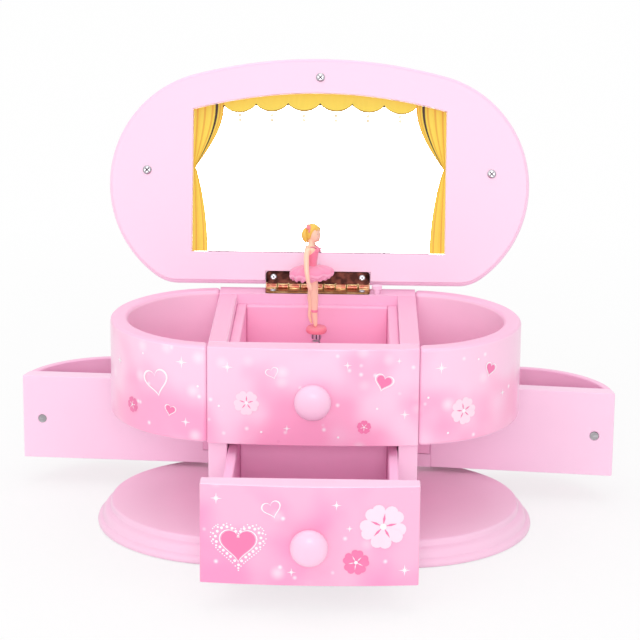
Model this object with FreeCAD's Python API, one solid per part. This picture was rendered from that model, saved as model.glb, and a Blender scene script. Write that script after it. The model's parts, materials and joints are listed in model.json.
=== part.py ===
"""Wind-up music box: an oval cabinet with a drawer, two swinging trays, a mirror lid and a dancer.

Frame: +X right, +Y back, +Z up. The origin is on the underside of the base, below the widest line
of the cabinet. Lengths are millimetres. The pieces are written as they stand opened: lid up, both
trays swung out and the drawer pulled.
"""
import FreeCAD, Part
import math
import os

V = FreeCAD.Vector
X_AXIS = V(1, 0, 0)
Z_AXIS = V(0, 0, 1)
ORIGIN = V(0, 0, 0)

# Cabinet plan: a four-arc oval with a flat back
body_half_width = 100.0
body_half_depth = 60.0
body_front_radius = 435.0
body_reach = 2 * body_front_radius * body_half_depth - body_half_depth ** 2 - body_half_width ** 2
body_end_radius = body_reach / (2 * (body_front_radius - body_half_width))
body_back_inset = 1.612
body_back = body_end_radius - body_back_inset
body_corner = 50.0
column_step = 5.0
column_back = body_back - column_step
wall = 8.5
back_wall = 13.5

# Heights
base_height = 12.0
deck_z = 60.8
rim_z = 108.0
stage_z = 82.3

# Base
base_overhang = 8.3
base_half_width = body_half_width + base_overhang
base_half_depth = 71.5
base_front_radius = 300.0
base_centre_y = 9.0
base_step = 2.2
base_lip = 4.0

# Boards
column_half = 49.5
column_board = 9.0
front_board = 9.0
deck_board = 4.0
stage_board = 3.5
liner_board = 5.0
liner_drop = 5.0
joint_gap = 0.1

# Drawer
drawer_out = 55.8
drawer_wall = 4.5
drawer_bottom = 3.0
drawer_depth = 84.0
drawer_side_height = 43.5
drawer_side_gap = 0.4
drawer_foot_gap = 0.3
drawer_front_gap = 0.8
drawer_knob_z = 34.0

# Knobs
knob_radius = 8.6
knob_length = 13.0
knob_neck_radius = 4.6
knob_shank_radius = 2.5
knob_shank_length = 6.0
knob_shank_gap = 0.05
upper_knob_z = 84.6

# Swinging trays
tray_inset = 7.0
tray_corner = 24.0
tray_board = 9.0
tray_wall = 3.5
tray_floor = 3.0
tray_side_gap = 0.5
tray_foot_gap = 2.3
tray_top_gap = 2.3
left_tray_open = 93.7
right_tray_open = 83.2
tray_leaf_width = 11.0
tray_leaf_length = 30.0
tray_pin_radius = 0.9
tray_knuckle_radius = 1.8
magnet_radius = 2.1
magnet_length = 1.8
magnet_from_end = 10.0
magnet_z = 35.4

# Hinges
leaf_thickness = 1.0
running_gap = 0.05
knuckle_gap = 0.15
lid_hinge_length = 52.8
lid_hinge_knuckles = 9
lid_knuckle_radius = 1.7
lid_pin_radius = 0.8
body_leaf_width = 8.0
lid_leaf_width = 7.8
hinge_notch_gap = 0.4

# Lid: an oval of its own, cut flat beside the hinge
lid_overhang = 7.2
lid_half_width = body_half_width + lid_overhang
lid_half_depth = 64.4
lid_front_radius = 250.0
lid_corner = 20.0
lid_centre_from_axis = 51.9
lid_edge_from_axis = 1.1
hinge_inset = 4.0
lid_gap = 2.4
lid_frame_thickness = 7.0
lid_frame_inset = 2.0
lid_cover_thickness = 5.0
lid_edge_round = 1.6
lid_open = 103.3
window_half_width = 64.5
window_from_axis = 17.3
window_height = 81.2
window_arch = 8.7
mirror_thickness = 2.0
mirror_lap = 2.5
mirror_gap = 0.15

# Screws
screw_head_radius = 2.3
screw_head_height = 0.9
screw_shank_radius = 1.0
screw_shank_length = 4.5
screw_gap = 0.05
lid_screw_side_x = 87.5
lid_screw_side_from_axis = 58.4
lid_screw_top_from_axis = 106.3
hinge_screw_x = 22.5
hinge_screw_radius = 1.6
hinge_screw_height = 0.6

# Uprights of the movement, placed from the back board
movement_gap = 3.1
upright_pitch = 12.4
back_upright_y = body_back - back_wall - movement_gap
front_upright_y = back_upright_y - upright_pitch

# Dancer on a coil-spring stem
dancer_from_upright = 3.0
dancer_y = front_upright_y - dancer_from_upright
fold_z = 87.4
spring_wire = 0.8
spring_radius = 1.7
spring_pitch = 1.5
spring_turns = 5
ferrule_radius = 2.6
ferrule_bore = 0.85
ferrule_height = 2.4
dancer_pin_radius = 0.8
disc_radius = 5.2
disc_height = 2.4
dancer_height = 52.5
dancer_foot = 2.0
leg_radius = 2.2
hip_radius = 4.6
waist_radius = 2.7
chest_radius = 3.9
neck_radius = 1.5
head_radius = 4.4
hip_share = 0.50
waist_share = 0.60
chest_share = 0.73
neck_share = 0.82
tutu_radius = 11.6
tutu_share = 0.50
tutu_thickness = 3.2

# Movement under the stage
arbor_z = 71.5
arbor_radius = 1.0
gear_module = 0.5
barrel_teeth = 24
cylinder_teeth = 24
fly_teeth = 10
gear_backlash = 0.16
gear_width = 2.0
drum_radius = 5.4
bed_thickness = 1.6
upright_thickness = 2.2
bed_margin = 4.0
bed_half_height = 5.9
cylinder_radius = 4.4
pin_rows = 6
pins_per_row = 5
pin_radius = 0.22
pin_height = 0.5
comb_length = 7.0
comb_thickness = 0.8
comb_teeth = 8
comb_gap = 0.25
fly_vane_half = 3.4
fly_vane_thickness = 0.6
roller_height = 1.6
roller_gap = 0.08
disc_wheel_radius = 6.6
disc_wheel_thickness = 1.2
spindle_radius = 1.2
spindle_collar_radius = 2.6
spindle_collar_height = 0.6

# Winding key at the back
key_reach = 9.0
key_hub_radius = 3.2
key_hub_length = 12.0
key_wing_radius = 7.0
key_wing_offset = 8.5
key_wing_thickness = 2.2
key_hole_gap = 0.6

# Lid-operated stop
stop_from_axis = 5.0
stop_x = 30.0
stop_radius = 1.5
stop_proud = 4.0
stop_length = 20.0
stop_cap_radius = 2.6
stop_cap_height = 1.6


def box(x0, x1, y0, y1, z0, z1):
    return Part.makeBox(x1 - x0, y1 - y0, z1 - z0, V(x0, y0, z0))


def rod(radius, start, end):
    along = end - start
    return Part.makeCylinder(radius, along.Length, start, along)


def lathe(profile, origin, axis):
    """Turn a profile of (radius, height) points round the axis through origin."""
    points = [V(0, 0, profile[0][1])]
    points += [V(radius, 0, height) for radius, height in profile]
    points += [V(0, 0, profile[-1][1])]
    kept = [points[0]]
    for point in points[1:]:
        if (point - kept[-1]).Length > 1e-6:
            kept.append(point)
    face = Part.Face(Part.makePolygon(kept + [kept[0]]))
    solid = face.revolve(ORIGIN, Z_AXIS, 360)
    solid.Placement = FreeCAD.Placement(origin, FreeCAD.Rotation(Z_AXIS, axis))
    return solid


def end_radius(half_width, half_depth, front_radius):
    """Radius of the end arcs that run tangent into the front arc."""
    rise = (front_radius - half_depth) ** 2 + half_width ** 2 - front_radius ** 2
    return rise / (2 * half_width - 2 * front_radius)


def oval_face(half_width, half_depth, front_radius, inset, z, centre_y=0.0, back=None, corner=0.0):
    """Oval face, set in by inset. With back, it is cut flat there and has rounded corners."""
    end_r = end_radius(half_width, half_depth, front_radius)
    end_x = half_width - end_r
    swing = math.asin(end_x / (front_radius - end_r))
    end_r = end_r - inset
    depth = half_depth - inset

    def on_end(angle, side):
        return V(side * (end_x + end_r * math.cos(angle)), centre_y + end_r * math.sin(angle), z)

    front_angle = -(math.pi / 2 - swing)
    front = V(0, centre_y - depth, z)
    edges = [Part.Arc(on_end(front_angle, -1), front, on_end(front_angle, 1)).toShape()]
    if back is None:
        back_angle = -front_angle
        closing = Part.Arc(on_end(back_angle, 1), V(0, centre_y + depth, z), on_end(back_angle, -1))
        right_tail = []
        left_tail = []
    else:
        flat = back - inset
        round_r = max(corner - inset, 1.0)
        round_y = flat - round_r
        round_x = end_x + math.sqrt((end_r - round_r) ** 2 - (round_y - centre_y) ** 2)
        back_angle = math.atan2(round_y - centre_y, round_x - end_x)
        middle = (back_angle + math.pi / 2) / 2

        def on_corner(angle, side):
            return V(side * (round_x + round_r * math.cos(angle)), round_y + round_r * math.sin(angle), z)

        closing = Part.LineSegment(on_corner(math.pi / 2, 1), on_corner(math.pi / 2, -1))
        right_tail = [Part.Arc(on_end(back_angle, 1), on_corner(middle, 1), on_corner(math.pi / 2, 1))]
        left_tail = [Part.Arc(on_corner(math.pi / 2, -1), on_corner(middle, -1), on_end(back_angle, -1))]
    middle_angle = (front_angle + back_angle) / 2
    right = Part.Arc(on_end(front_angle, 1), on_end(middle_angle, 1), on_end(back_angle, 1))
    left = Part.Arc(on_end(back_angle, -1), on_end(middle_angle, -1), on_end(front_angle, -1))
    for curve in [right] + right_tail + [closing] + left_tail + [left]:
        edges.append(curve.toShape())
    return Part.Face(Part.Wire(Part.__sortEdges__(edges)))


def body_plan(inset, z0, z1):
    face = oval_face(body_half_width, body_half_depth, body_front_radius, inset, z0,
                     back=body_back, corner=body_corner)
    return face.extrude(V(0, 0, z1 - z0))


def tray_plan(inset, z0, z1):
    face = oval_face(body_half_width, body_half_depth, body_front_radius, inset, z0,
                     back=column_back, corner=tray_corner)
    return face.extrude(V(0, 0, z1 - z0))


def lid_plan(inset, z0, z1):
    axis_y = lid_axis().y
    face = oval_face(lid_half_width, lid_half_depth, lid_front_radius, inset, z0,
                     axis_y - lid_centre_from_axis, axis_y - lid_edge_from_axis, lid_corner)
    return face.extrude(V(0, 0, z1 - z0))


def front_line(x):
    """Y of the bowed front face at a distance x from the middle."""
    bow = body_front_radius - math.sqrt(body_front_radius ** 2 - x ** 2)
    return -body_half_depth + bow


# Planes that several pieces share
front_back_y = front_line(column_half) + front_board
back_inner = body_back - back_wall
side_inner = column_half - column_board
reach = 2 * base_half_width

parts = {}


def keep(name, shape):
    parts[name] = shape


# Base: a full oval plate with a stepped moulding
def make_base():
    def plate(inset, z0, z1):
        face = oval_face(base_half_width, base_half_depth, base_front_radius, inset, z0, base_centre_y)
        return face.extrude(V(0, 0, z1 - z0))

    step_z = base_height / 3
    lower = plate(0, 0, step_z)
    middle = plate(base_step, step_z, 2 * step_z)
    upper = plate(base_step + base_lip, 2 * step_z, base_height)
    keep("base_plate", lower.fuse([middle, upper]).removeSplitter())


# Cabinet: side boards, back board, end shells, floors, ceiling, stage and liners
def make_cabinet():
    for side, name in ((-1, "left"), (1, "right")):
        inner = side * side_inner
        outer = side * column_half
        board = box(min(inner, outer), max(inner, outer), front_back_y, back_inner, base_height, rim_z)
        seat = rod(magnet_radius + screw_gap, V(outer, magnet_y(), magnet_z),
                   V(outer - side * magnet_length, magnet_y(), magnet_z))
        keep(name + "_side_board", board.cut(seat))
        half = box(min(outer, side * reach), max(outer, side * reach), -reach, reach, 0, reach)
        ring = body_plan(0, deck_z, rim_z).cut(body_plan(wall, deck_z, rim_z))
        keep(name + "_end_shell", ring.common(half))
        floor = body_plan(wall + joint_gap, deck_z, deck_z + deck_board).common(half)
        keep(name + "_well_floor", floor)
        liner_in = side * (side_inner - liner_board)
        keep(name + "_stage_liner",
             box(min(liner_in, inner), max(liner_in, inner), front_back_y, back_inner, stage_z, rim_z - liner_drop))

    back = box(-column_half, column_half, back_inner, body_back, deck_z, rim_z)
    back = back.fuse(box(-column_half, column_half, back_inner, column_back, base_height, deck_z)).removeSplitter()
    back = back.cut(rod(arbor_radius + key_hole_gap, V(0, back_inner, arbor_z), V(0, body_back, arbor_z)))
    bore_top = V(stop_x, stop_y(), rim_z)
    back = back.cut(rod(stop_radius + running_gap, bore_top - V(0, 0, stop_length + stop_proud), bore_top))
    for side in (-1, 1):
        back = back.cut(screw_bore(V(side * hinge_screw_x, body_screw_y(), rim_z), Z_AXIS))
    keep("back_board", back)
    keep("bay_ceiling", box(-side_inner, side_inner, front_back_y, back_inner, deck_z, deck_z + deck_board))
    stage = box(-side_inner, side_inner, front_back_y, back_inner, stage_z - stage_board, stage_z)
    keep("stage_floor", stage.cut(rod(spindle_radius + running_gap, V(0, dancer_y, 0), V(0, dancer_y, rim_z))))
    liner_half = side_inner - liner_board
    keep("back_stage_liner",
         box(-liner_half, liner_half, back_inner - liner_board, back_inner, stage_z, rim_z - liner_drop))

    panel = body_plan(0, deck_z, rim_z).common(
        box(-column_half, column_half, -reach, front_back_y, 0, reach))
    keep("upper_front_panel", panel.cut(knob_bore(upper_knob_z, 0)))
    keep("upper_knob", knob(upper_knob_z, 0))
    magnets = []
    for side in (-1, 1):
        face = V(side * column_half, magnet_y(), magnet_z)
        magnets.append(rod(magnet_radius, face, face - V(side * magnet_length, 0, 0)))
    keep("column_magnets", Part.makeCompound(magnets))


def magnet_y():
    """The magnets stand one set distance in from the free end of the closed trays."""
    return front_line(column_half) + tray_inset + magnet_from_end


def stop_y():
    return lid_axis().y - stop_from_axis


def knob(z, out):
    """Turned knob whose shank sits in the board behind it."""
    face = V(0, -body_half_depth - out, z)
    profile = [(knob_shank_radius, -knob_shank_length), (knob_shank_radius, 0), (knob_neck_radius, 0)]
    profile += [(knob_neck_radius * 0.82, knob_length * 0.22)]
    bulge = knob_length * 0.62
    for step in range(9):
        angle = math.radians(-60 + step * 18.75)
        profile.append((knob_radius * math.cos(angle), bulge + (knob_length - bulge) * math.sin(angle)))
    profile.append((0, knob_length))
    return lathe(profile, face, V(0, -1, 0))


def knob_bore(z, out):
    face = V(0, -body_half_depth - out, z)
    return rod(knob_shank_radius + knob_shank_gap, face - V(0, 1, 0), face + V(0, knob_shank_length, 0))


# Drawer, drawn in its pulled place
def make_drawer():
    front_y = front_back_y - drawer_out
    low = base_height + drawer_foot_gap
    front_half = column_half - joint_gap
    front = body_plan(0, base_height + drawer_front_gap, deck_z - drawer_front_gap).common(
        box(-front_half, front_half, -reach, front_back_y, 0, reach))
    front.translate(V(0, -drawer_out, 0))
    keep("drawer_front", front.cut(knob_bore(drawer_knob_z, drawer_out)))
    keep("drawer_knob", knob(drawer_knob_z, drawer_out))
    outer = side_inner - drawer_side_gap
    inner = outer - drawer_wall
    top = low + drawer_side_height
    back_y = front_y + drawer_depth
    keep("drawer_left_side", box(-outer, -inner, front_y, back_y, low, top))
    keep("drawer_right_side", box(inner, outer, front_y, back_y, low, top))
    keep("drawer_back", box(-inner, inner, back_y - drawer_wall, back_y, low, top))
    keep("drawer_bottom", box(-inner, inner, front_y, back_y - drawer_wall, low, low + drawer_bottom))


# Trays: drawn closed on the left, mirrored for the right, then swung open
def tray_axis():
    return V(-(column_half + tray_side_gap / 2), column_back + tray_knuckle_radius + knuckle_gap, 0)


def tray_leaf(x0, x1, bands, low):
    """Leaf on the back face with knuckles in the listed bands of its length."""
    high = low + tray_leaf_length
    axis = tray_axis()
    leaf = box(min(x0, x1), max(x0, x1), column_back, column_back + leaf_thickness, low, high)
    bore = rod(tray_pin_radius + running_gap, V(axis.x, axis.y, low - 1), V(axis.x, axis.y, high + 1))
    clear = tray_knuckle_radius + knuckle_gap
    leaf = leaf.cut(rod(clear, V(axis.x, axis.y, low - 1), V(axis.x, axis.y, high + 1)))
    for start, end in bands:
        z0 = low + start * tray_leaf_length
        z1 = low + end * tray_leaf_length
        arm = box(min(x0, x1), max(x0, x1), column_back, column_back + leaf_thickness, z0, z1)
        barrel = rod(tray_knuckle_radius, V(axis.x, axis.y, z0), V(axis.x, axis.y, z1))
        link = box(min(x0, axis.x), max(x0, axis.x), column_back, column_back + leaf_thickness, z0, z1)
        leaf = leaf.fuse([arm, link, barrel])
    return leaf.cut(bore).removeSplitter()


def make_trays():
    low = base_height + tray_foot_gap
    high = deck_z - tray_top_gap
    flat = -(column_half + tray_side_gap)
    behind = flat - tray_board
    outer = tray_plan(tray_inset, low, high)
    back_trim = box(-reach, reach, column_back - tray_inset, reach, 0, reach)
    inner = tray_plan(tray_inset + tray_wall, low, high)
    board = outer.common(box(behind, flat, -reach, reach, 0, reach)).cut(back_trim)
    seat = V(flat, magnet_y(), magnet_z)
    magnet = rod(magnet_radius, seat, seat - V(magnet_length, 0, 0))
    board = board.cut(rod(magnet_radius + screw_gap, seat, seat - V(magnet_length, 0, 0)))
    shell = outer.cut(inner).common(box(-reach, behind, -reach, reach, 0, reach))
    floor_plan = tray_plan(tray_inset + tray_wall + joint_gap, low, low + tray_floor)
    floor = floor_plan.common(box(-reach, behind, -reach, reach, 0, reach))
    axis = tray_axis()
    leaf_low = (low + high - tray_leaf_length) / 2
    gap = knuckle_gap / tray_leaf_length
    fixed = tray_leaf(-column_half, -column_half + tray_leaf_width, ((0, 1 / 3 - gap), (2 / 3 + gap, 1)), leaf_low)
    spacer = box(flat - tray_leaf_width, flat, column_back - tray_inset, column_back, leaf_low, leaf_low + tray_leaf_length)
    moving = tray_leaf(flat, flat - tray_leaf_width, ((1 / 3, 2 / 3),), leaf_low).fuse(spacer).removeSplitter()
    pin = rod(tray_pin_radius, V(axis.x, axis.y, leaf_low), V(axis.x, axis.y, leaf_low + tray_leaf_length))
    swung = {"tray_board": board, "tray_wall": shell, "tray_floor": floor, "tray_magnet": magnet,
             "tray_hinge_leaf": moving}
    still = {"tray_hinge_plate": fixed, "tray_hinge_pin": pin}
    for name, shape in swung.items():
        left = shape.copy()
        left.rotate(axis, Z_AXIS, -left_tray_open)
        keep("left_" + name, left)
        right = shape.mirror(ORIGIN, X_AXIS)
        right.rotate(V(-axis.x, axis.y, 0), Z_AXIS, right_tray_open)
        keep("right_" + name, right)
    for name, shape in still.items():
        keep("left_" + name, shape)
        keep("right_" + name, shape.mirror(ORIGIN, X_AXIS))


# Lid and its hinge, drawn closed and then opened about the hinge axis
def lid_axis():
    return V(0, body_back - hinge_inset, rim_z + lid_knuckle_radius)


def screw(place, axis, head_radius=screw_head_radius, head_height=screw_head_height):
    """Round-headed screw: head proud of the face at place, shank sunk against axis."""
    profile = [(screw_shank_radius, -screw_shank_length), (screw_shank_radius, 0), (head_radius, 0)]
    profile += [(head_radius * 0.93, head_height * 0.5), (head_radius * 0.62, head_height)]
    return lathe(profile, place, axis)


def hinge_screw(place, axis):
    return screw(place, axis, hinge_screw_radius, hinge_screw_height)


def screw_bore(place, axis):
    return rod(screw_shank_radius + screw_gap, place + axis * 2, place - axis * (screw_shank_length + screw_gap))


def body_screw_y():
    return lid_axis().y - lid_knuckle_radius - (body_leaf_width - lid_knuckle_radius) / 2


def hinge_leaf(width, bottom, moving):
    """Leaf lying in front of the axis, with every second knuckle."""
    axis = lid_axis()
    half = lid_hinge_length / 2
    pitch = lid_hinge_length / lid_hinge_knuckles
    clear = lid_knuckle_radius + knuckle_gap
    leaf = box(-half, half, axis.y - width, axis.y, bottom, bottom + leaf_thickness)
    leaf = leaf.cut(rod(clear, V(-half - 1, axis.y, axis.z), V(half + 1, axis.y, axis.z)))
    first = 1 if moving else 0
    for index in range(first, lid_hinge_knuckles, 2):
        x0 = -half + index * pitch + knuckle_gap / 2
        x1 = x0 + pitch - knuckle_gap
        barrel = rod(lid_knuckle_radius, V(x0, axis.y, axis.z), V(x1, axis.y, axis.z))
        arm = box(x0, x1, axis.y - 2 * lid_knuckle_radius, axis.y, bottom, bottom + leaf_thickness)
        leaf = leaf.fuse([arm, barrel])
    bore = lid_pin_radius + running_gap
    return leaf.cut(rod(bore, V(-half - 1, axis.y, axis.z), V(half + 1, axis.y, axis.z))).removeSplitter()


def window_face(lap, z):
    """Arched window outline, grown by lap."""
    y0 = lid_axis().y - window_from_axis + lap
    y1 = y0 - window_height - 2 * lap
    half = window_half_width + lap
    shoulder = y1 + window_arch
    arch = Part.Arc(V(-half, shoulder, z), V(0, y1, z), V(half, shoulder, z)).toShape()
    sides = Part.makePolygon([V(half, shoulder, z), V(half, y0, z), V(-half, y0, z), V(-half, shoulder, z)])
    return Part.Face(Part.Wire([arch] + sides.Edges))


def make_lid():
    axis = lid_axis()
    half = lid_hinge_length / 2
    under = rim_z + lid_gap
    top = under + lid_frame_thickness
    mirror_z = top - mirror_thickness - mirror_gap
    frame = lid_plan(lid_frame_inset, under, top)
    frame = frame.cut(window_face(0, under).extrude(V(0, 0, lid_frame_thickness)))
    rebate = window_face(mirror_lap + mirror_gap, mirror_z)
    frame = frame.cut(rebate.extrude(V(0, 0, top - mirror_z)))
    leaf_y = axis.y - lid_leaf_width
    mortise = box(-half - hinge_notch_gap, half + hinge_notch_gap, leaf_y - joint_gap, reach,
                  under, under + leaf_thickness)
    notch = rod(lid_knuckle_radius + hinge_notch_gap, V(-half - hinge_notch_gap, axis.y, axis.z),
                V(half + hinge_notch_gap, axis.y, axis.z))
    frame = frame.cut(mortise).cut(notch)
    cover = lid_plan(0, top, top + lid_cover_thickness)
    rims = [edge for edge in cover.Edges if abs(edge.BoundBox.ZMin - edge.BoundBox.ZMax) < 1e-6
            and edge.BoundBox.ZMin > top + lid_cover_thickness / 2]
    cover = cover.makeFillet(min(lid_edge_round, lid_cover_thickness * 0.4), rims)
    down = V(0, 0, -1)
    lid_screw_places = [V(-lid_screw_side_x, axis.y - lid_screw_side_from_axis, under),
                        V(lid_screw_side_x, axis.y - lid_screw_side_from_axis, under),
                        V(0, axis.y - lid_screw_top_from_axis, under)]
    leaf_screw_y = axis.y - (lid_leaf_width + lid_knuckle_radius) / 2
    leaf_screw_places = [V(side * hinge_screw_x, leaf_screw_y, under) for side in (-1, 1)]
    leaf = hinge_leaf(lid_leaf_width, under, True)
    for place in lid_screw_places + leaf_screw_places:
        frame = frame.cut(screw_bore(place, down))
    for place in leaf_screw_places:
        leaf = leaf.cut(screw_bore(place, down))
    mirror = window_face(mirror_lap, mirror_z).extrude(V(0, 0, mirror_thickness))
    swung = {"lid_cover": cover, "lid_frame": frame, "mirror": mirror, "lid_hinge_leaf": leaf,
             "lid_screws": Part.makeCompound([screw(place, down) for place in lid_screw_places]),
             "lid_hinge_screws": Part.makeCompound(
                 [hinge_screw(place, down) for place in leaf_screw_places])}
    for name, shape in swung.items():
        opened = shape.copy()
        opened.rotate(axis, X_AXIS, -lid_open)
        keep(name, opened)

    body_leaf = hinge_leaf(body_leaf_width, rim_z, False)
    body_places = [V(side * hinge_screw_x, body_screw_y(), rim_z + leaf_thickness) for side in (-1, 1)]
    for place in body_places:
        body_leaf = body_leaf.cut(screw_bore(place, Z_AXIS))
    keep("body_hinge_leaf", body_leaf)
    keep("body_hinge_screws",
         Part.makeCompound([hinge_screw(place, Z_AXIS) for place in body_places]))
    keep("lid_hinge_pin", rod(lid_pin_radius, V(-half, axis.y, axis.z), V(half, axis.y, axis.z)))


# Spring stem: one unbroken coil drawn as biarcs, a quarter turn each
def biarc(p0, t0, p1, t1):
    chord = p1 - p0
    tangents = t0 + t1
    a = tangents.dot(tangents) - 4
    b = -2 * chord.dot(tangents)
    c = chord.dot(chord)
    reach_along = (-b - math.sqrt(b * b - 4 * a * c)) / (2 * a)
    reach_along = abs(reach_along)
    c0 = p0 + t0 * reach_along
    c1 = p1 - t1 * reach_along
    joint = (c0 + c1) * 0.5
    return [arc_towards(p0, c0, joint), arc_towards(joint, c1, p1)]


def arc_towards(start, corner, end):
    """Arc from start to end whose end tangents meet at corner."""
    middle = (start + end) * 0.5
    half_chord = (end - start).Length / 2
    rise = (corner - middle).Length
    turn = math.atan2(rise, half_chord)
    crown = middle + (corner - middle) * (half_chord * math.tan(turn / 2) / rise)
    return Part.Arc(start, crown, end).toShape()


def make_spring():
    start_z = fold_z - spring_pitch * spring_turns / 2
    quarter = math.pi / 2

    def point(turn):
        return V(spring_radius * math.cos(turn), dancer_y + spring_radius * math.sin(turn),
                 start_z + spring_pitch * turn / (2 * math.pi))

    def tangent(turn):
        rise = spring_pitch / (2 * math.pi)
        direction = V(-spring_radius * math.sin(turn), spring_radius * math.cos(turn), rise)
        return direction.normalize()

    edges = []
    for step in range(4 * spring_turns):
        a0 = step * quarter
        a1 = a0 + quarter
        edges += biarc(point(a0), tangent(a0), point(a1), tangent(a1))
    spine = Part.Wire(edges)
    ring = Part.Wire([Part.makeCircle(spring_wire / 2, point(0), tangent(0))])
    shell = Part.BRepOffsetAPI.MakePipeShell(spine)
    shell.add(ring)
    shell.build()
    shell.makeSolid()
    keep("stem_spring", Part.Solid(shell.shape()))
    samples = [point(index * 0.1) for index in range(int(spring_turns * 20 * math.pi))]
    near = int(math.pi / 0.1)
    gap = min((q - p).Length for i, p in enumerate(samples) for q in samples[i + near:])
    print("stem spring least gap to itself: %.2f mm" % (gap - spring_wire))


# Dancer: ferrule on the spring, disc, figure and skirt
def make_dancer():
    spring_half = spring_pitch * spring_turns / 2 + spring_wire / 2
    seat_z = fold_z + spring_half
    disc_z = seat_z + ferrule_height + joint_gap
    ferrule = Part.makeCylinder(ferrule_radius, ferrule_height, V(0, dancer_y, seat_z))
    keep("stem_ferrule", ferrule.cut(rod(ferrule_bore, V(0, dancer_y, seat_z), V(0, dancer_y, disc_z))))
    disc = Part.makeCylinder(disc_radius, disc_height, V(0, dancer_y, disc_z))
    pin = rod(dancer_pin_radius, V(0, dancer_y, seat_z + joint_gap), V(0, dancer_y, disc_z + joint_gap))
    keep("dancer_disc", disc.fuse(pin).removeSplitter())
    foot_z = disc_z + disc_height
    height = dancer_height
    profile = [(dancer_foot, 0), (leg_radius, height * 0.3), (hip_radius, height * hip_share)]
    profile += [(waist_radius, height * waist_share), (chest_radius, height * chest_share)]
    profile += [(neck_radius, height * neck_share)]
    head_z = height - head_radius
    for step in range(7):
        angle = math.radians(-60 + step * 25)
        profile.append((head_radius * math.cos(angle), head_z + head_radius * math.sin(angle)))
    figure = lathe(profile, V(0, dancer_y, foot_z), Z_AXIS)
    tutu_z = height * tutu_share - tutu_thickness / 2
    skirt_profile = [(tutu_radius, tutu_z), (tutu_radius, tutu_z + tutu_thickness * 0.4),
                     (hip_radius + 1.5, tutu_z + tutu_thickness)]
    skirt = lathe(skirt_profile, V(0, dancer_y, foot_z), Z_AXIS)
    keep("dancer_body", figure)
    keep("dancer_tutu", skirt.cut(figure))


# Movement: toothed wheels on arbors between two uprights, a pinned cylinder, a comb and a fly
def gear(teeth, place, phase):
    """Spur wheel along +Y with straight-flanked teeth, thinned for backlash."""
    pitch_r = gear_module * teeth / 2
    tip_r = pitch_r + 0.8 * gear_module
    root_r = pitch_r - 1.1 * gear_module
    step = 2 * math.pi / teeth
    half_pitch = step / 4 - gear_backlash / pitch_r / 2
    root_half = half_pitch * 1.45
    tip_half = half_pitch * 0.45
    points = []
    for index in range(teeth):
        middle = phase + index * step
        for radius, angle in ((root_r, middle - root_half), (tip_r, middle - tip_half),
                              (tip_r, middle + tip_half), (root_r, middle + root_half)):
            points.append(place + V(radius * math.cos(angle), 0, radius * math.sin(angle)))
    face = Part.Face(Part.makePolygon(points + [points[0]]))
    return face.extrude(V(0, gear_width, 0))


def centre_distance(teeth_a, teeth_b):
    return gear_module * (teeth_a + teeth_b) / 2


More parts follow.
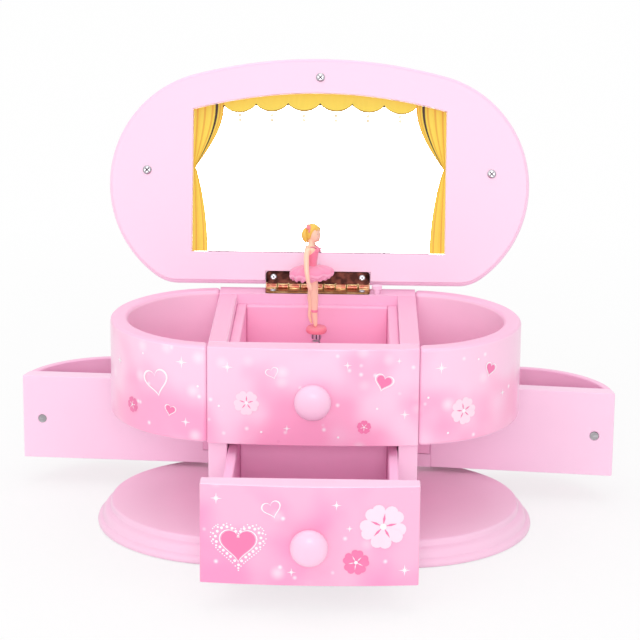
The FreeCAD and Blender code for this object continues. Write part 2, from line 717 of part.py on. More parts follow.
def make_movement():
    cylinder_x = -centre_distance(barrel_teeth, cylinder_teeth)
    fly_x = cylinder_x - centre_distance(cylinder_teeth, fly_teeth)
    inner_front = front_upright_y + upright_thickness
    gear_y = back_upright_y - running_gap - gear_width
    bed_z = deck_z + deck_board
    bed_left = fly_x - bed_margin
    bed_right = drum_radius + bed_margin

    def at(x, y):
        return V(x, y, arbor_z)

    bed = box(bed_left, bed_right, front_upright_y, back_upright_y + upright_thickness, bed_z,
              bed_z + bed_thickness)
    upright_top = arbor_z + bed_half_height
    front = box(bed_left, bed_right, front_upright_y, inner_front, bed_z, upright_top)
    rear = box(bed_left, bed_right, back_upright_y, back_upright_y + upright_thickness, bed_z, upright_top)
    frame = bed.fuse([front, rear]).removeSplitter()
    for x in (0.0, cylinder_x, fly_x):
        frame = frame.cut(rod(arbor_radius + running_gap, at(x, front_upright_y - 1), at(x, reach)))
    sweep = gear_module * (barrel_teeth / 2 + 1) + knuckle_gap
    for x in (0.0, cylinder_x):
        frame = frame.cut(rod(sweep, at(x, inner_front), at(x, back_upright_y)))
    keep("movement_frame", frame)

    drum = rod(drum_radius, at(0, inner_front + running_gap), at(0, gear_y))
    wheel = gear(barrel_teeth, at(0, gear_y), 0.0)
    bore = rod(arbor_radius, at(0, 0), at(0, reach))
    keep("spring_barrel", drum.fuse(wheel).removeSplitter().cut(bore))
    disc_y = front_upright_y - running_gap - disc_wheel_thickness
    key_y = body_back + key_reach
    arbor = rod(arbor_radius, at(0, disc_y), at(0, key_y))
    drive = rod(disc_wheel_radius, at(0, disc_y), at(0, disc_y + disc_wheel_thickness))
    keep("winding_arbor", arbor.fuse(drive).removeSplitter())
    hub = rod(key_hub_radius, at(0, key_y), at(0, key_y + key_hub_length))
    wings = []
    for side in (-1, 1):
        y = key_y + key_hub_length
        x = side * key_wing_offset
        z0 = arbor_z - key_wing_thickness / 2
        wings.append(Part.makeCylinder(key_wing_radius, key_wing_thickness, V(x, y, z0), Z_AXIS))
    keep("winding_key", hub.fuse(wings).removeSplitter())

    pins = []
    cylinder_y0 = inner_front + running_gap
    cylinder_length = gear_y - cylinder_y0
    for row in range(pin_rows):
        for index in range(pins_per_row):
            angle = 2 * math.pi * (index / pins_per_row + row * 0.137)
            y = cylinder_y0 + cylinder_length * (row + 0.5) / pin_rows
            out = V(math.cos(angle), 0, math.sin(angle))
            middle = at(cylinder_x, y)
            pins.append(rod(pin_radius, middle + out * (cylinder_radius - 1),
                            middle + out * (cylinder_radius + pin_height)))
    shaft = rod(arbor_radius, at(cylinder_x, front_upright_y), at(cylinder_x, back_upright_y + upright_thickness))
    drum = rod(cylinder_radius, at(cylinder_x, cylinder_y0), at(cylinder_x, gear_y))
    mesh = math.pi / cylinder_teeth
    wheel = gear(cylinder_teeth, at(cylinder_x, gear_y), mesh)
    keep("pinned_cylinder", drum.fuse([shaft, wheel] + pins).removeSplitter())

    pinion = gear(fly_teeth, at(fly_x, gear_y), fly_phase(mesh))
    shaft = rod(arbor_radius, at(fly_x, front_upright_y), at(fly_x, back_upright_y + upright_thickness))
    vane = box(fly_x - fly_vane_half, fly_x + fly_vane_half, cylinder_y0 + 1, gear_y - 2,
               arbor_z - fly_vane_thickness / 2, arbor_z + fly_vane_thickness / 2)
    keep("governor_fly", shaft.fuse([pinion, vane]).removeSplitter())
    make_comb(cylinder_x, cylinder_y0, gear_y, upright_top)
    make_spindle(disc_y)


def fly_phase(cylinder_phase):
    """A pinion gap faces the cylinder-wheel tooth nearest the line of centres."""
    step = 2 * math.pi / cylinder_teeth
    offset = (math.pi - cylinder_phase) % step
    if offset > step / 2:
        offset -= step
    turned = offset * cylinder_teeth / fly_teeth
    return math.pi / fly_teeth + turned


def make_comb(cylinder_x, y0, y1, upright_top):
    """Comb over the cylinder, resting on the two uprights, with slits between its tongues."""
    low = arbor_z + cylinder_radius + pin_height + comb_gap
    low = max(low, upright_top)
    back_y = y1 - comb_gap
    comb = box(cylinder_x - comb_length, cylinder_x, front_upright_y, back_y, low, low + comb_thickness)
    pitch = (back_y - y0) / comb_teeth
    for index in range(comb_teeth):
        y = y0 + pitch * (index + 0.5)
        comb = comb.cut(box(cylinder_x - comb_length * 0.6, cylinder_x + 1, y, y + pitch * 0.3, low - 1, low + 5))
    keep("tone_comb", comb)


def make_spindle(disc_y):
    """Upright spindle whose roller is turned by the drive disc and whose collar rests on the stage."""
    roller_y = dancer_y
    top = fold_z - spring_pitch * spring_turns / 2 - spring_wire / 2 - joint_gap
    roller_r = disc_y - roller_gap - roller_y
    roller_z0 = stage_z - stage_board - joint_gap - roller_height
    spindle = rod(spindle_radius, V(0, roller_y, roller_z0), V(0, roller_y, top))
    collar = rod(spindle_collar_radius, V(0, roller_y, stage_z + joint_gap),
                 V(0, roller_y, stage_z + joint_gap + spindle_collar_height))
    roller = rod(roller_r, V(0, roller_y, roller_z0), V(0, roller_y, roller_z0 + roller_height))
    keep("dancer_spindle", spindle.fuse([collar, roller]).removeSplitter())


# Stop: a plunger beside the hinge that the closing lid pushes down
def make_stop():
    top = rim_z + stop_proud
    stem = rod(stop_radius, V(stop_x, stop_y(), rim_z - stop_length), V(stop_x, stop_y(), top - stop_cap_height))
    cap = rod(stop_cap_radius, V(stop_x, stop_y(), top - stop_cap_height), V(stop_x, stop_y(), top))
    keep("stop_plunger", stem.fuse(cap).removeSplitter())


make_base()
make_cabinet()
make_drawer()
make_trays()
make_lid()
make_spring()
make_dancer()
make_movement()
make_stop()

os.makedirs("parts", exist_ok=True)
for name, shape in parts.items():
    shape.exportStep("parts/" + name + ".step")
    if not shape.isValid():
        print("invalid shape:", name)
print(len(parts), "sub-parts written")
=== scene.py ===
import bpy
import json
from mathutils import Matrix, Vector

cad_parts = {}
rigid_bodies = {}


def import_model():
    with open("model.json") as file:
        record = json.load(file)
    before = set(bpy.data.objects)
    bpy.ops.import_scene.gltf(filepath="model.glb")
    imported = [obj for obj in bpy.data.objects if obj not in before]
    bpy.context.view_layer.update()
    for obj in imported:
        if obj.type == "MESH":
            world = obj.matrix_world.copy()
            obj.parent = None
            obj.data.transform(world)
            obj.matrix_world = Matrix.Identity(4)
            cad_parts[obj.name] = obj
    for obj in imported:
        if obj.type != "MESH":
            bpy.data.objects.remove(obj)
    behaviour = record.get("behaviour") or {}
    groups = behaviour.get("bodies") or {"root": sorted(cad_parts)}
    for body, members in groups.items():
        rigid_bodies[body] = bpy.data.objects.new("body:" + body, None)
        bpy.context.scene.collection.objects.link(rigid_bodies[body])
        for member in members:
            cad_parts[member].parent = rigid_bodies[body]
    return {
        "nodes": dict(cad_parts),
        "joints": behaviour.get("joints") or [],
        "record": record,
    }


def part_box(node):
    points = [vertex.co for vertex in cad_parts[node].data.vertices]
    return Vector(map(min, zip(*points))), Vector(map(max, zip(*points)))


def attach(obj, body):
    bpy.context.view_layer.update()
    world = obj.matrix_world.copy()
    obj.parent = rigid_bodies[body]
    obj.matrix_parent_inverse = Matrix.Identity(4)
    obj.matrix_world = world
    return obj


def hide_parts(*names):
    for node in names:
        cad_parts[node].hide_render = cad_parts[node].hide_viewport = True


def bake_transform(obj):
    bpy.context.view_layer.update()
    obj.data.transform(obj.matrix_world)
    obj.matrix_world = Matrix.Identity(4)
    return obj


bl_info = {
    "name": "Wind-up Music Box Looks",
    "version": (1, 0, 0),
    "blender": (4, 5, 0),
    "location": "View3D > Sidebar > Music Box",
    "description": "Finishes, prints, curtain and dancer for an oval wind-up music box",
    "category": "Object",
}

import json
import math

import bmesh
import bpy
from bpy.props import FloatProperty, FloatVectorProperty, IntProperty, PointerProperty
from mathutils import Matrix, Vector

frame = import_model()
NODES = frame["nodes"]
JOINTS = {joint["name"]: joint for joint in frame["joints"]}
BODY_OF = {node: body for body, names in frame["record"]["behaviour"]["bodies"].items() for node in names}
SLOT_OF = {entry["node"]: entry["material_slot"] for entry in frame["record"]["subparts"]}
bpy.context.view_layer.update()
MM = 0.001
WHITE = (1, 1, 1, 1)

# Plan of the cabinet, as built
BODY_HALF_WIDTH = 100 * MM
BODY_HALF_DEPTH = 60 * MM
BODY_FRONT_RADIUS = 435 * MM
BASE_HALF_WIDTH = 108.3 * MM
BASE_HALF_DEPTH = 71.5 * MM
BASE_FRONT_RADIUS = 300 * MM
BASE_CENTRE_Y = 9 * MM
LID_GAP = 2.4 * MM
MIRROR_DEPTH = 4.85 * MM
PRINT_LIFT = 0.12 * MM


def srgb(red, green, blue):
    """Linear colour from 0-255 screen values."""
    def linear(value):
        value = value / 255
        return value / 12.92 if value <= 0.04045 else ((value + 0.055) / 1.055) ** 2.4
    return (linear(red), linear(green), linear(blue))


def colour(name, text, default):
    return FloatVectorProperty(name=name, description=text, subtype="COLOR", size=3,
                               min=0, max=1, default=default)


def length(name, text, default):
    return FloatProperty(name=name, description=text, default=default, min=0, unit="LENGTH")


class MusicBoxColours(bpy.types.PropertyGroup):
    """Paint and metal colours."""
    body: colour("Body", "Painted cabinet", srgb(251, 196, 225))
    pale: colour("Pale", "Lid cover, tray boards and drawer front", srgb(253, 214, 237))
    lid: colour("Lid", "Lid frame", srgb(253, 209, 232))
    inside: colour("Inside", "Stage liners, and floors of wells and trays", srgb(254, 188, 220))
    # Painted light: base and moulding are lit and shaded tones of one pink paint, the top painted lighter to
    # make up for the shade of the trays over it
    base: colour("Base", "Top of the base", srgb(254, 211, 233))
    moulding: colour("Moulding", "Edge of the base", srgb(251, 207, 231))
    film_deep: colour("Film deep", "Deep tone of the printed film", srgb(252, 166, 204))
    film_pale: colour("Film pale", "Pale tone of the printed film", srgb(252, 203, 228))
    drawer_deep: colour("Drawer deep", "Deep tone of the drawer's film", srgb(252, 150, 196))
    drawer_pale: colour("Drawer pale", "Pale tone of the drawer's film", srgb(252, 181, 212))
    # Painted light: the inside of the drawer is painted lighter to make up for the shade that falls in it
    cavity: colour("Drawer inside", "Inside of the drawer", srgb(255, 194, 228))
    well: colour("Well", "Inner walls of the wells", srgb(255, 209, 232))
    column: colour("Column", "Side boards of the column", srgb(254, 212, 235))
    top_edge: colour("Top edge", "Top edges of the partitions", srgb(250, 184, 216))
    film_glow: colour("Film glow", "Glowing spots of the printed film", srgb(255, 240, 248))
    knob: colour("Knob", "Lacquered knobs", srgb(251, 202, 228))
    gold: colour("Gold", "Curtain print", srgb(244, 216, 80))
    # Partly painted shade: this tone darkens the troughs of the curtain's relief folds, and also runs along
    # each drape's inner edge
    gold_shade: colour("Gold shade", "Folds of the curtain", srgb(232, 176, 60))
    curtain_dark: colour("Curtain lining", "Dark lining stripes", srgb(62, 34, 22))
    hinge: colour("Hinge", "Antique hinge", srgb(36, 17, 15))
    brass: colour("Brass", "Worn brass", srgb(206, 164, 104))
    copper: colour("Copper", "Hinge knuckles", srgb(164, 92, 78))
    # Gilt is both the rubbed wear of the hinge and its painted highlights along the knuckles
    gilt_wear_and_highlight: colour("Gilt", "Rubbed edges of the hinge", srgb(244, 214, 158))
    steel: colour("Steel", "Bright steel", srgb(205, 205, 208))
    skin: colour("Skin", "Doll skin", srgb(254, 214, 184))
    hair: colour("Hair", "Doll hair", srgb(246, 204, 88))
    dress: colour("Dress", "Bodice and garter", srgb(250, 138, 168))
    net: colour("Net", "Skirt net", srgb(250, 156, 192))
    net_pale: colour("Net edge", "Hem of the skirt", srgb(255, 190, 216))
    print_white: colour("Print white", "Pale motifs", srgb(255, 244, 250))
    print_rose: colour("Print rose", "Rose motifs", srgb(246, 128, 178))
    print_blush: colour("Print blush", "Soft motifs", srgb(254, 224, 240))
    disc: colour("Disc", "Dancer's disc", srgb(250, 140, 158))


class MusicBoxSizes(bpy.types.PropertyGroup):
    """Sizes of the dressed pieces."""
    edge: length("Edge", "Rounding of the painted boards", 1.3 * MM)
    curtain_scallops: IntProperty(name="Scallops", description="Scallops along the valance", default=6, min=2)
    curtain_relief: length("Relief", "Depth of the curtain folds", 0.35 * MM)
    skirt_radius: length("Skirt", "Radius of the skirt", 11.0 * MM)
    skirt_waves: IntProperty(name="Skirt waves", description="Ruffles round the skirt", default=11, min=3)
    motif: length("Motif", "Size of the printed motifs", 7 * MM)


# Shared shader groups
def set_inputs(node, values):
    for socket, value in values.items():
        node.inputs[socket].default_value = value


def add_node(tree, kind, values=None, **settings):
    """Shader node with settings of its own and default values for some inputs."""
    node = tree.nodes.new("ShaderNode" + kind)
    for name, value in settings.items():
        setattr(node, name, value)
    set_inputs(node, values or {})
    return node


def wire(tree, joins):
    """Make links, each given as node, output, node, input."""
    for source, output, target, socket in joins:
        tree.links.new(source.outputs[output], target.inputs[socket])


def make_group(name, inputs):
    """Group with the given inputs, that gives out a colour, a roughness and a height."""
    group = bpy.data.node_groups.new(name, "ShaderNodeTree")
    for socket, default in inputs.items():
        kind = "NodeSocketColor" if isinstance(default, tuple) else "NodeSocketFloat"
        item = group.interface.new_socket(name=socket, in_out="INPUT", socket_type=kind)
        item.default_value = default
    group.interface.new_socket(name="Color", in_out="OUTPUT", socket_type="NodeSocketColor")
    for socket in ("Roughness", "Height"):
        group.interface.new_socket(name=socket, in_out="OUTPUT", socket_type="NodeSocketFloat")
    return group, group.nodes.new("NodeGroupInput"), group.nodes.new("NodeGroupOutput")


def paint_group():
    """Brushed paint: faint mottling in colour, fine grain in height, uneven gloss."""
    if "painted_surface" in bpy.data.node_groups:
        return bpy.data.node_groups["painted_surface"]
    inputs = {"Color": WHITE, "Mottle": 0.06, "Scale": 40.0, "Gloss": 0.4}
    group, into, out = make_group("painted_surface", inputs)
    place = add_node(group, "TexCoord")
    broad = add_node(group, "TexNoise", {"Detail": 4})
    fine = add_node(group, "TexNoise", {"Scale": 900, "Detail": 3})
    shade = add_node(group, "MapRange", {"To Max": 1.0})
    low = add_node(group, "Math", {0: 1.0}, operation="SUBTRACT")
    tint = add_node(group, "VectorMath", operation="SCALE")
    rough = add_node(group, "MapRange")
    wide = add_node(group, "Math", {1: 0.14}, operation="ADD")
    wire(group, [
        (place, "Object", broad, "Vector"), (place, "Object", fine, "Vector"),
        (into, "Scale", broad, "Scale"), (into, "Mottle", low, 1),
        (broad, "Fac", shade, "Value"), (low, 0, shade, "To Min"),
        (into, "Color", tint, 0), (shade, "Result", tint, "Scale"), (tint, "Vector", out, "Color"),
        (into, "Gloss", wide, 0), (broad, "Fac", rough, "Value"),
        (into, "Gloss", rough, "To Min"), (wide, 0, rough, "To Max"),
        (rough, "Result", out, "Roughness"), (fine, "Fac", out, "Height")])
    return group


def film_group():
    """Printed film: clouds from a deep to a pale tone, deeper lower down, with soft glowing spots."""
    if "printed_film" in bpy.data.node_groups:
        return bpy.data.node_groups["printed_film"]
    inputs = {"Deep": WHITE, "Pale": WHITE, "Glow": WHITE, "Low": 0.0, "High": 0.1}
    group, into, out = make_group("printed_film", inputs)
    smooth = {"interpolation_type": "SMOOTHSTEP"}
    place = add_node(group, "TexCoord")
    cloud = add_node(group, "TexNoise", {"Scale": 34, "Detail": 1.5})
    split = add_node(group, "SeparateXYZ")
    rise = add_node(group, "MapRange", {"To Min": -0.12, "To Max": 0.12})
    lean = add_node(group, "Math", operation="ADD")
    tone = add_node(group, "MapRange", {"From Min": 0.28, "From Max": 0.62}, **smooth)
    mix = add_node(group, "Mix", data_type="RGBA")
    gloss = add_node(group, "MapRange", {"To Min": 0.24, "To Max": 0.36})
    fine = add_node(group, "TexNoise", {"Scale": 700})
    wire(group, [
        (place, "Object", cloud, "Vector"), (place, "Object", split, "Vector"), (split, "Z", rise, "Value"),
        (into, "Low", rise, "From Min"), (into, "High", rise, "From Max"),
        (cloud, "Fac", lean, 0), (rise, "Result", lean, 1), (lean, 0, tone, "Value"),
        (tone, "Result", mix, "Factor"), (into, "Deep", mix, "A"), (into, "Pale", mix, "B"),
        (place, "Object", fine, "Vector"), (cloud, "Fac", gloss, "Value"),
        (gloss, "Result", out, "Roughness"), (fine, "Fac", out, "Height")])
    shown = mix
    for scale, reach, rare, strength in ((75, 0.34, 0.62, 0.55), (170, 0.26, 0.72, 0.9)):
        spots = add_node(group, "TexVoronoi", {"Scale": scale})
        near = add_node(group, "MapRange", {"From Max": reach, "To Min": strength, "To Max": 0.0}, **smooth)
        pick = add_node(group, "SeparateColor")
        kept = add_node(group, "Math", {1: rare}, operation="GREATER_THAN")
        share = add_node(group, "Math", operation="MULTIPLY")
        lit = add_node(group, "Mix", data_type="RGBA")
        wire(group, [
            (place, "Object", spots, "Vector"), (spots, "Distance", near, "Value"),
            (spots, "Color", pick, "Color"), (pick, "Red", kept, 0),
            (near, "Result", share, 0), (kept, 0, share, 1), (share, 0, lit, "Factor"),
            (shown, "Result", lit, "A"), (into, "Glow", lit, "B")])
        shown = lit
    wire(group, [(shown, "Result", out, "Color")])
    return group


def wear_group():
    """Worn metal: a dark tone with a bright one rubbed through in patches, and fine scratches."""
    if "worn_metal" in bpy.data.node_groups:
        return bpy.data.node_groups["worn_metal"]
    inputs = {"Dark": (0, 0, 0, 1), "Bright": WHITE, "Scale": 260.0, "Rubbed": 0.5}
    group, into, out = make_group("worn_metal", inputs)
    place = add_node(group, "TexCoord")
    patch = add_node(group, "TexNoise", {"Detail": 6})
    fine = add_node(group, "TexNoise", {"Scale": 2400})
    soft = add_node(group, "MapRange", {"From Min": 0.45, "From Max": 0.75})
    share = add_node(group, "Math", operation="MULTIPLY")
    mix = add_node(group, "Mix", data_type="RGBA")
    rough = add_node(group, "MapRange", {"To Min": 0.24, "To Max": 0.42})
    wire(group, [
        (place, "Object", patch, "Vector"), (place, "Object", fine, "Vector"),
        (into, "Scale", patch, "Scale"), (patch, "Fac", soft, "Value"),
        (soft, "Result", share, 0), (into, "Rubbed", share, 1), (share, 0, mix, "Factor"),
        (into, "Dark", mix, "A"), (into, "Bright", mix, "B"), (mix, "Result", out, "Color"),
        (patch, "Fac", rough, "Value"), (rough, "Result", out, "Roughness"), (fine, "Fac", out, "Height")])
    return group


def new_material(name):
    material = bpy.data.materials.new(name)
    material.use_nodes = True
    return material, material.node_tree, material.node_tree.nodes["Principled BSDF"]


def finished(name, group, values, bump, distance):
    """Material whose colour, roughness and relief come from a shared group."""
    material, tree, shader = new_material(name)
    source = add_node(tree, "Group", values, node_tree=group)
    relief = add_node(tree, "Bump", {"Strength": bump, "Distance": distance})
    wire(tree, [(source, "Color", shader, "Base Color"), (source, "Roughness", shader, "Roughness"),
                (source, "Height", relief, "Height"), (relief, "Normal", shader, "Normal")])
    return material, shader


def paint(name, tone, gloss=0.38, mottle=0.05, bump=0.12, coat=0.0, sheen=0.0):
    """Painted or moulded surface; made once for each name."""
    if name in bpy.data.materials:
        return bpy.data.materials[name]
    values = {"Color": (*tone, 1), "Mottle": mottle, "Gloss": gloss}
    material, shader = finished(name, paint_group(), values, bump, 0.05 * MM)
    set_inputs(shader, {"Coat Weight": coat, "Coat Roughness": 0.12, "Sheen Weight": sheen})
    return material


def metal(name, dark, bright, rubbed=0.6, scale=260):
    """Worn metal; made once for each name."""
    if name in bpy.data.materials:
        return bpy.data.materials[name]
    values = {"Dark": (*dark, 1), "Bright": (*bright, 1), "Rubbed": rubbed, "Scale": scale}
    material, shader = finished(name, wear_group(), values, 0.1, 0.03 * MM)
    set_inputs(shader, {"Metallic": 1.0})
    return material


def film(name, node, deep, pale):
    """Glossy printed film between the bottom and top of a CAD node."""
    if name in bpy.data.materials:
        return bpy.data.materials[name]
    low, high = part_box(node)
    values = {"Deep": (*deep, 1), "Pale": (*pale, 1), "Glow": (*looks().film_glow, 1),
              "Low": low.z, "High": high.z}
    material, shader = finished(name, film_group(), values, 0.04, 0.03 * MM)
    set_inputs(shader, {"Coat Weight": 0.25, "Coat Roughness": 0.1})
    return material


def mirror_material():
    if "silvered_mirror" in bpy.data.materials:
        return bpy.data.materials["silvered_mirror"]
    material, tree, shader = new_material("silvered_mirror")
    tint = {"Color": (0.985, 0.985, 0.985, 1), "Mottle": 0.02}
    silver = add_node(tree, "Group", tint, node_tree=paint_group())
    wire(tree, [(silver, "Color", shader, "Base Color")])
    set_inputs(shader, {"Metallic": 1.0, "Roughness": 0.03})
    return material


def looks():
    return bpy.context.scene.music_box_colours


def sizes():
    return bpy.context.scene.music_box_sizes


def slot_material(slot):
    tone = looks()
    table = {
        "base": lambda: paint("base_paint", tone.base, 0.36),
        "body": lambda: paint("body_paint", tone.body, 0.36),
        "pale": lambda: paint("pale_paint", tone.pale, 0.34),
        "inside": lambda: paint("inside_paint", tone.inside, 0.5, 0.08),
        "knob": lambda: paint("knob_lacquer", tone.knob, 0.34, 0.04, 0.03, 0.15),
        "hinge": lambda: metal("antique_hinge", tone.hinge, tone.copper, 0.2, 300),
        "brass": lambda: metal("movement_brass", tone.brass, srgb(232, 196, 120), 0.8),
        "steel": lambda: metal("bright_steel", srgb(176, 174, 180), tone.steel, 0.8),
        "magnet": lambda: metal("magnet_nickel", srgb(168, 164, 168), tone.steel, 0.8, 600),
        "mirror": mirror_material,
        "skin": lambda: paint("doll_skin", tone.skin, 0.34, 0.03, 0.02, 0.2),
        "tutu": lambda: paint("doll_dress", tone.dress, 0.42, 0.08, 0.1, 0.0, 0.4),
    }
    return table[slot]()


def add_piece(name, mesh, body, slot, material, replaced=(), smooth=True):
    """Link a mesh as a piece that rides on a body and may stand for CAD nodes."""
    obj = bpy.data.objects.new(name, mesh)
    bpy.context.scene.collection.objects.link(obj)
    materials = material if isinstance(material, list) else [material]
    for entry in materials:
        mesh.materials.append(entry)
    if smooth:
        for polygon in mesh.polygons:
            polygon.use_smooth = True
    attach(obj, body)
    if replaced:
        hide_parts(*replaced)
    return obj


def apply_modifiers(obj):
    graph = bpy.context.evaluated_depsgraph_get()
    mesh = bpy.data.meshes.new_from_object(obj.evaluated_get(graph))
    obj.modifiers.clear()
    obj.data = mesh


def settle(obj):
    """Even out the shading and apply the modifiers."""
    even = obj.modifiers.new("normals", "WEIGHTED_NORMAL")
    even.weight = 100
    apply_modifiers(obj)


def cad_copy(node):
    """Copy of a CAD mesh, opened for editing with its flat areas merged."""
    mesh = NODES[node].data.copy()
    mesh.materials.clear()
    work = bmesh.new()
    work.from_mesh(mesh)
    bmesh.ops.remove_doubles(work, verts=work.verts, dist=0.002 * MM)
    bmesh.ops.dissolve_limit(work, angle_limit=math.radians(0.4), verts=work.verts, edges=work.edges)
    return mesh, work


def soften(node, width, material=None):
    """Stand a copy with rounded edges in for a CAD board."""
    mesh, work = cad_copy(node)
    bmesh.ops.recalc_face_normals(work, faces=work.faces)
    for face in work.faces:
        face.material_index = 0
    work.to_mesh(mesh)
    work.free()
    slot = SLOT_OF[node]
    obj = add_piece(node + "_finished", mesh, BODY_OF[node], slot, material or slot_material(slot), [node])
    bevel = obj.modifiers.new("edge", "BEVEL")
    bevel.width = width
    bevel.segments = 3
    bevel.limit_method = "ANGLE"
    bevel.angle_limit = math.radians(40)
    settle(obj)
    return obj


def turns(count):
    """Angles of equal steps round a circle."""
    return [2 * math.pi * step / count for step in range(count)]


def round_point(centre, radius, angle, z):
    return Vector((centre.x + radius * math.cos(angle), centre.y + radius * math.sin(angle), z))


def grid_mesh(name, rows, closed=False):
    """Mesh through rows of equal numbers of points; closed joins each row's ends."""
    verts = [tuple(point) for row in rows for point in row]
    count = len(rows[0])
    faces = []
    for r in range(len(rows) - 1):
        for c in range(count if closed else count - 1):
            d = (c + 1) % count
            faces.append((r * count + c, r * count + d, (r + 1) * count + d, (r + 1) * count + c))
    if closed:
        faces.append(tuple(reversed(range(count))))
        faces.append(tuple(range((len(rows) - 1) * count, len(rows) * count)))
    mesh = bpy.data.meshes.new(name)
    mesh.from_pydata(verts, [], faces)
    mesh.validate()
    return mesh


def tube(name, path, radii, sides=16):
    """Closed limb along a path of points, with a radius at each."""
    rows = []
    for index, point in enumerate(path):
        before = path[max(index - 1, 0)]
        after = path[min(index + 1, len(path) - 1)]
        along = (after - before).normalized()
        across = Vector((0, 1, 0)) if abs(along.y) < 0.9 else Vector((1, 0, 0))
        side = along.cross(across).normalized()
        other = along.cross(side).normalized()
        radius = radii[index]
        rows.append([point + (side * math.cos(a) + other * math.sin(a)) * radius for a in turns(sides)])
    return grid_mesh(name, rows, True)


def join_meshes(name, meshes, one_material=False):
    """One mesh from several, with a material index for each unless they share one."""
    work = bmesh.new()
    for index, mesh in enumerate(meshes):
        start = len(work.faces)
        work.from_mesh(mesh)
        work.faces.ensure_lookup_table()
        for face in work.faces[start:]:
            face.material_index = 0 if one_material else index
    joined = bpy.data.meshes.new(name)
    work.to_mesh(joined)
    work.free()
    return joined


def add_joined(name, meshes, *details):
    """Join meshes that share a material, and add them as one piece."""
    return add_piece(name, join_meshes(name, meshes, True), *details)


# Plan outlines of the base and of the printed cabinet
def oval(half_width, half_depth, front_radius):
    """Radius and centre of the end arcs that run tangent into the front arc, and half the front's angle."""
    rise = (front_radius - half_depth) ** 2 + half_width ** 2 - front_radius ** 2
    end_r = rise / (2 * half_width - 2 * front_radius)
    end_x = half_width - end_r
    return end_r, end_x, math.asin(end_x / (front_radius - end_r))


def base_outline(inset, z, steps=56):
    """Points round the base oval, set in by inset."""
    end_r, end_x, swing = oval(BASE_HALF_WIDTH, BASE_HALF_DEPTH, BASE_FRONT_RADIUS)
    radius = BASE_FRONT_RADIUS - inset
    points = []
    for side in (-1, 1):
        for step in range(steps):
            angle = -swing + 2 * swing * step / steps
            depth = BASE_FRONT_RADIUS - BASE_HALF_DEPTH - radius * math.cos(angle)
            points.append(Vector((-side * radius * math.sin(angle), BASE_CENTRE_Y + side * depth, z)))
        for step in range(steps):
            angle = math.pi / 2 - swing - 2 * (math.pi / 2 - swing) * step / steps
            x = end_x + (end_r - inset) * math.cos(angle)
            y = (end_r - inset) * math.sin(angle)
            points.append(Vector((-side * x, BASE_CENTRE_Y - side * y, z)))
    return sorted(points, key=lambda p: math.atan2(p.y - BASE_CENTRE_Y, p.x))


def body_wall(s, z, lift=0.0):
    """Point on the cabinet's outside at arc length s from the middle of the front."""
    end_r, end_x, swing = oval(BODY_HALF_WIDTH, BODY_HALF_DEPTH, BODY_FRONT_RADIUS)
    side = 1 if s >= 0 else -1
    run = abs(s)
    if run <= swing * BODY_FRONT_RADIUS:
        angle = run / BODY_FRONT_RADIUS
        radius = BODY_FRONT_RADIUS + lift
        x = radius * math.sin(angle)
        y = BODY_FRONT_RADIUS - BODY_HALF_DEPTH - radius * math.cos(angle)
    else:
        angle = swing + (run - swing * BODY_FRONT_RADIUS) / end_r
        radius = end_r + lift
        x = end_x + radius * math.sin(angle)
        y = -radius * math.cos(angle)
    return Vector((side * x, y, z))


# Printed motifs: closed outlines in a unit square
def heart_outline(count=28):
    points = []
    for t in turns(count):
        x = 16 * math.sin(t) ** 3
        y = 13 * math.cos(t) - 5 * math.cos(2 * t) - 2 * math.cos(3 * t) - math.cos(4 * t)
        points.append((x / 32, y / 32))
    return points


def sparkle_outline(tips=4, waist=0.14):
    points = []
    for step in range(tips * 2):
        radius = 0.5 if step % 2 == 0 else waist
        angle = math.pi * step / tips + math.pi / 2
        points.append((radius * math.cos(angle), radius * math.sin(angle)))
    return points


def dot_outline(count=16):
    return [(0.5 * math.cos(a), 0.5 * math.sin(a)) for a in turns(count)]


def motif_mesh(name, outline, place, size, turn=0.0):
    """Flat motif laid on a surface; place maps (across, up) to a point on it."""
    cosine, sine = math.cos(turn), math.sin(turn)
    verts = [place(0.0, 0.0)]
    for x, y in outline:
        verts.append(place(size * (x * cosine - y * sine), size * (x * sine + y * cosine)))
    count = len(outline)
    faces = [(0, 1 + i, 1 + (i + 1) % count) for i in range(count)]
    mesh = bpy.data.meshes.new(name)
    mesh.from_pydata([tuple(v) for v in verts], [], faces)
    return mesh


# Lid coordinates: x across, v up from the hinge axis, depth into the lid from its inner face
def lid_point(x, v, depth):
    joint = JOINTS["lid_hinge"]
    axis = Vector(joint["pos_m"])
    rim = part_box("back_board")[1].z
    closed = Vector((x, axis.y - v, rim + LID_GAP + depth))
    turn = Matrix.Rotation(-math.radians(joint["range_deg"][1]), 3, "X")
    return axis + turn @ (closed - axis)


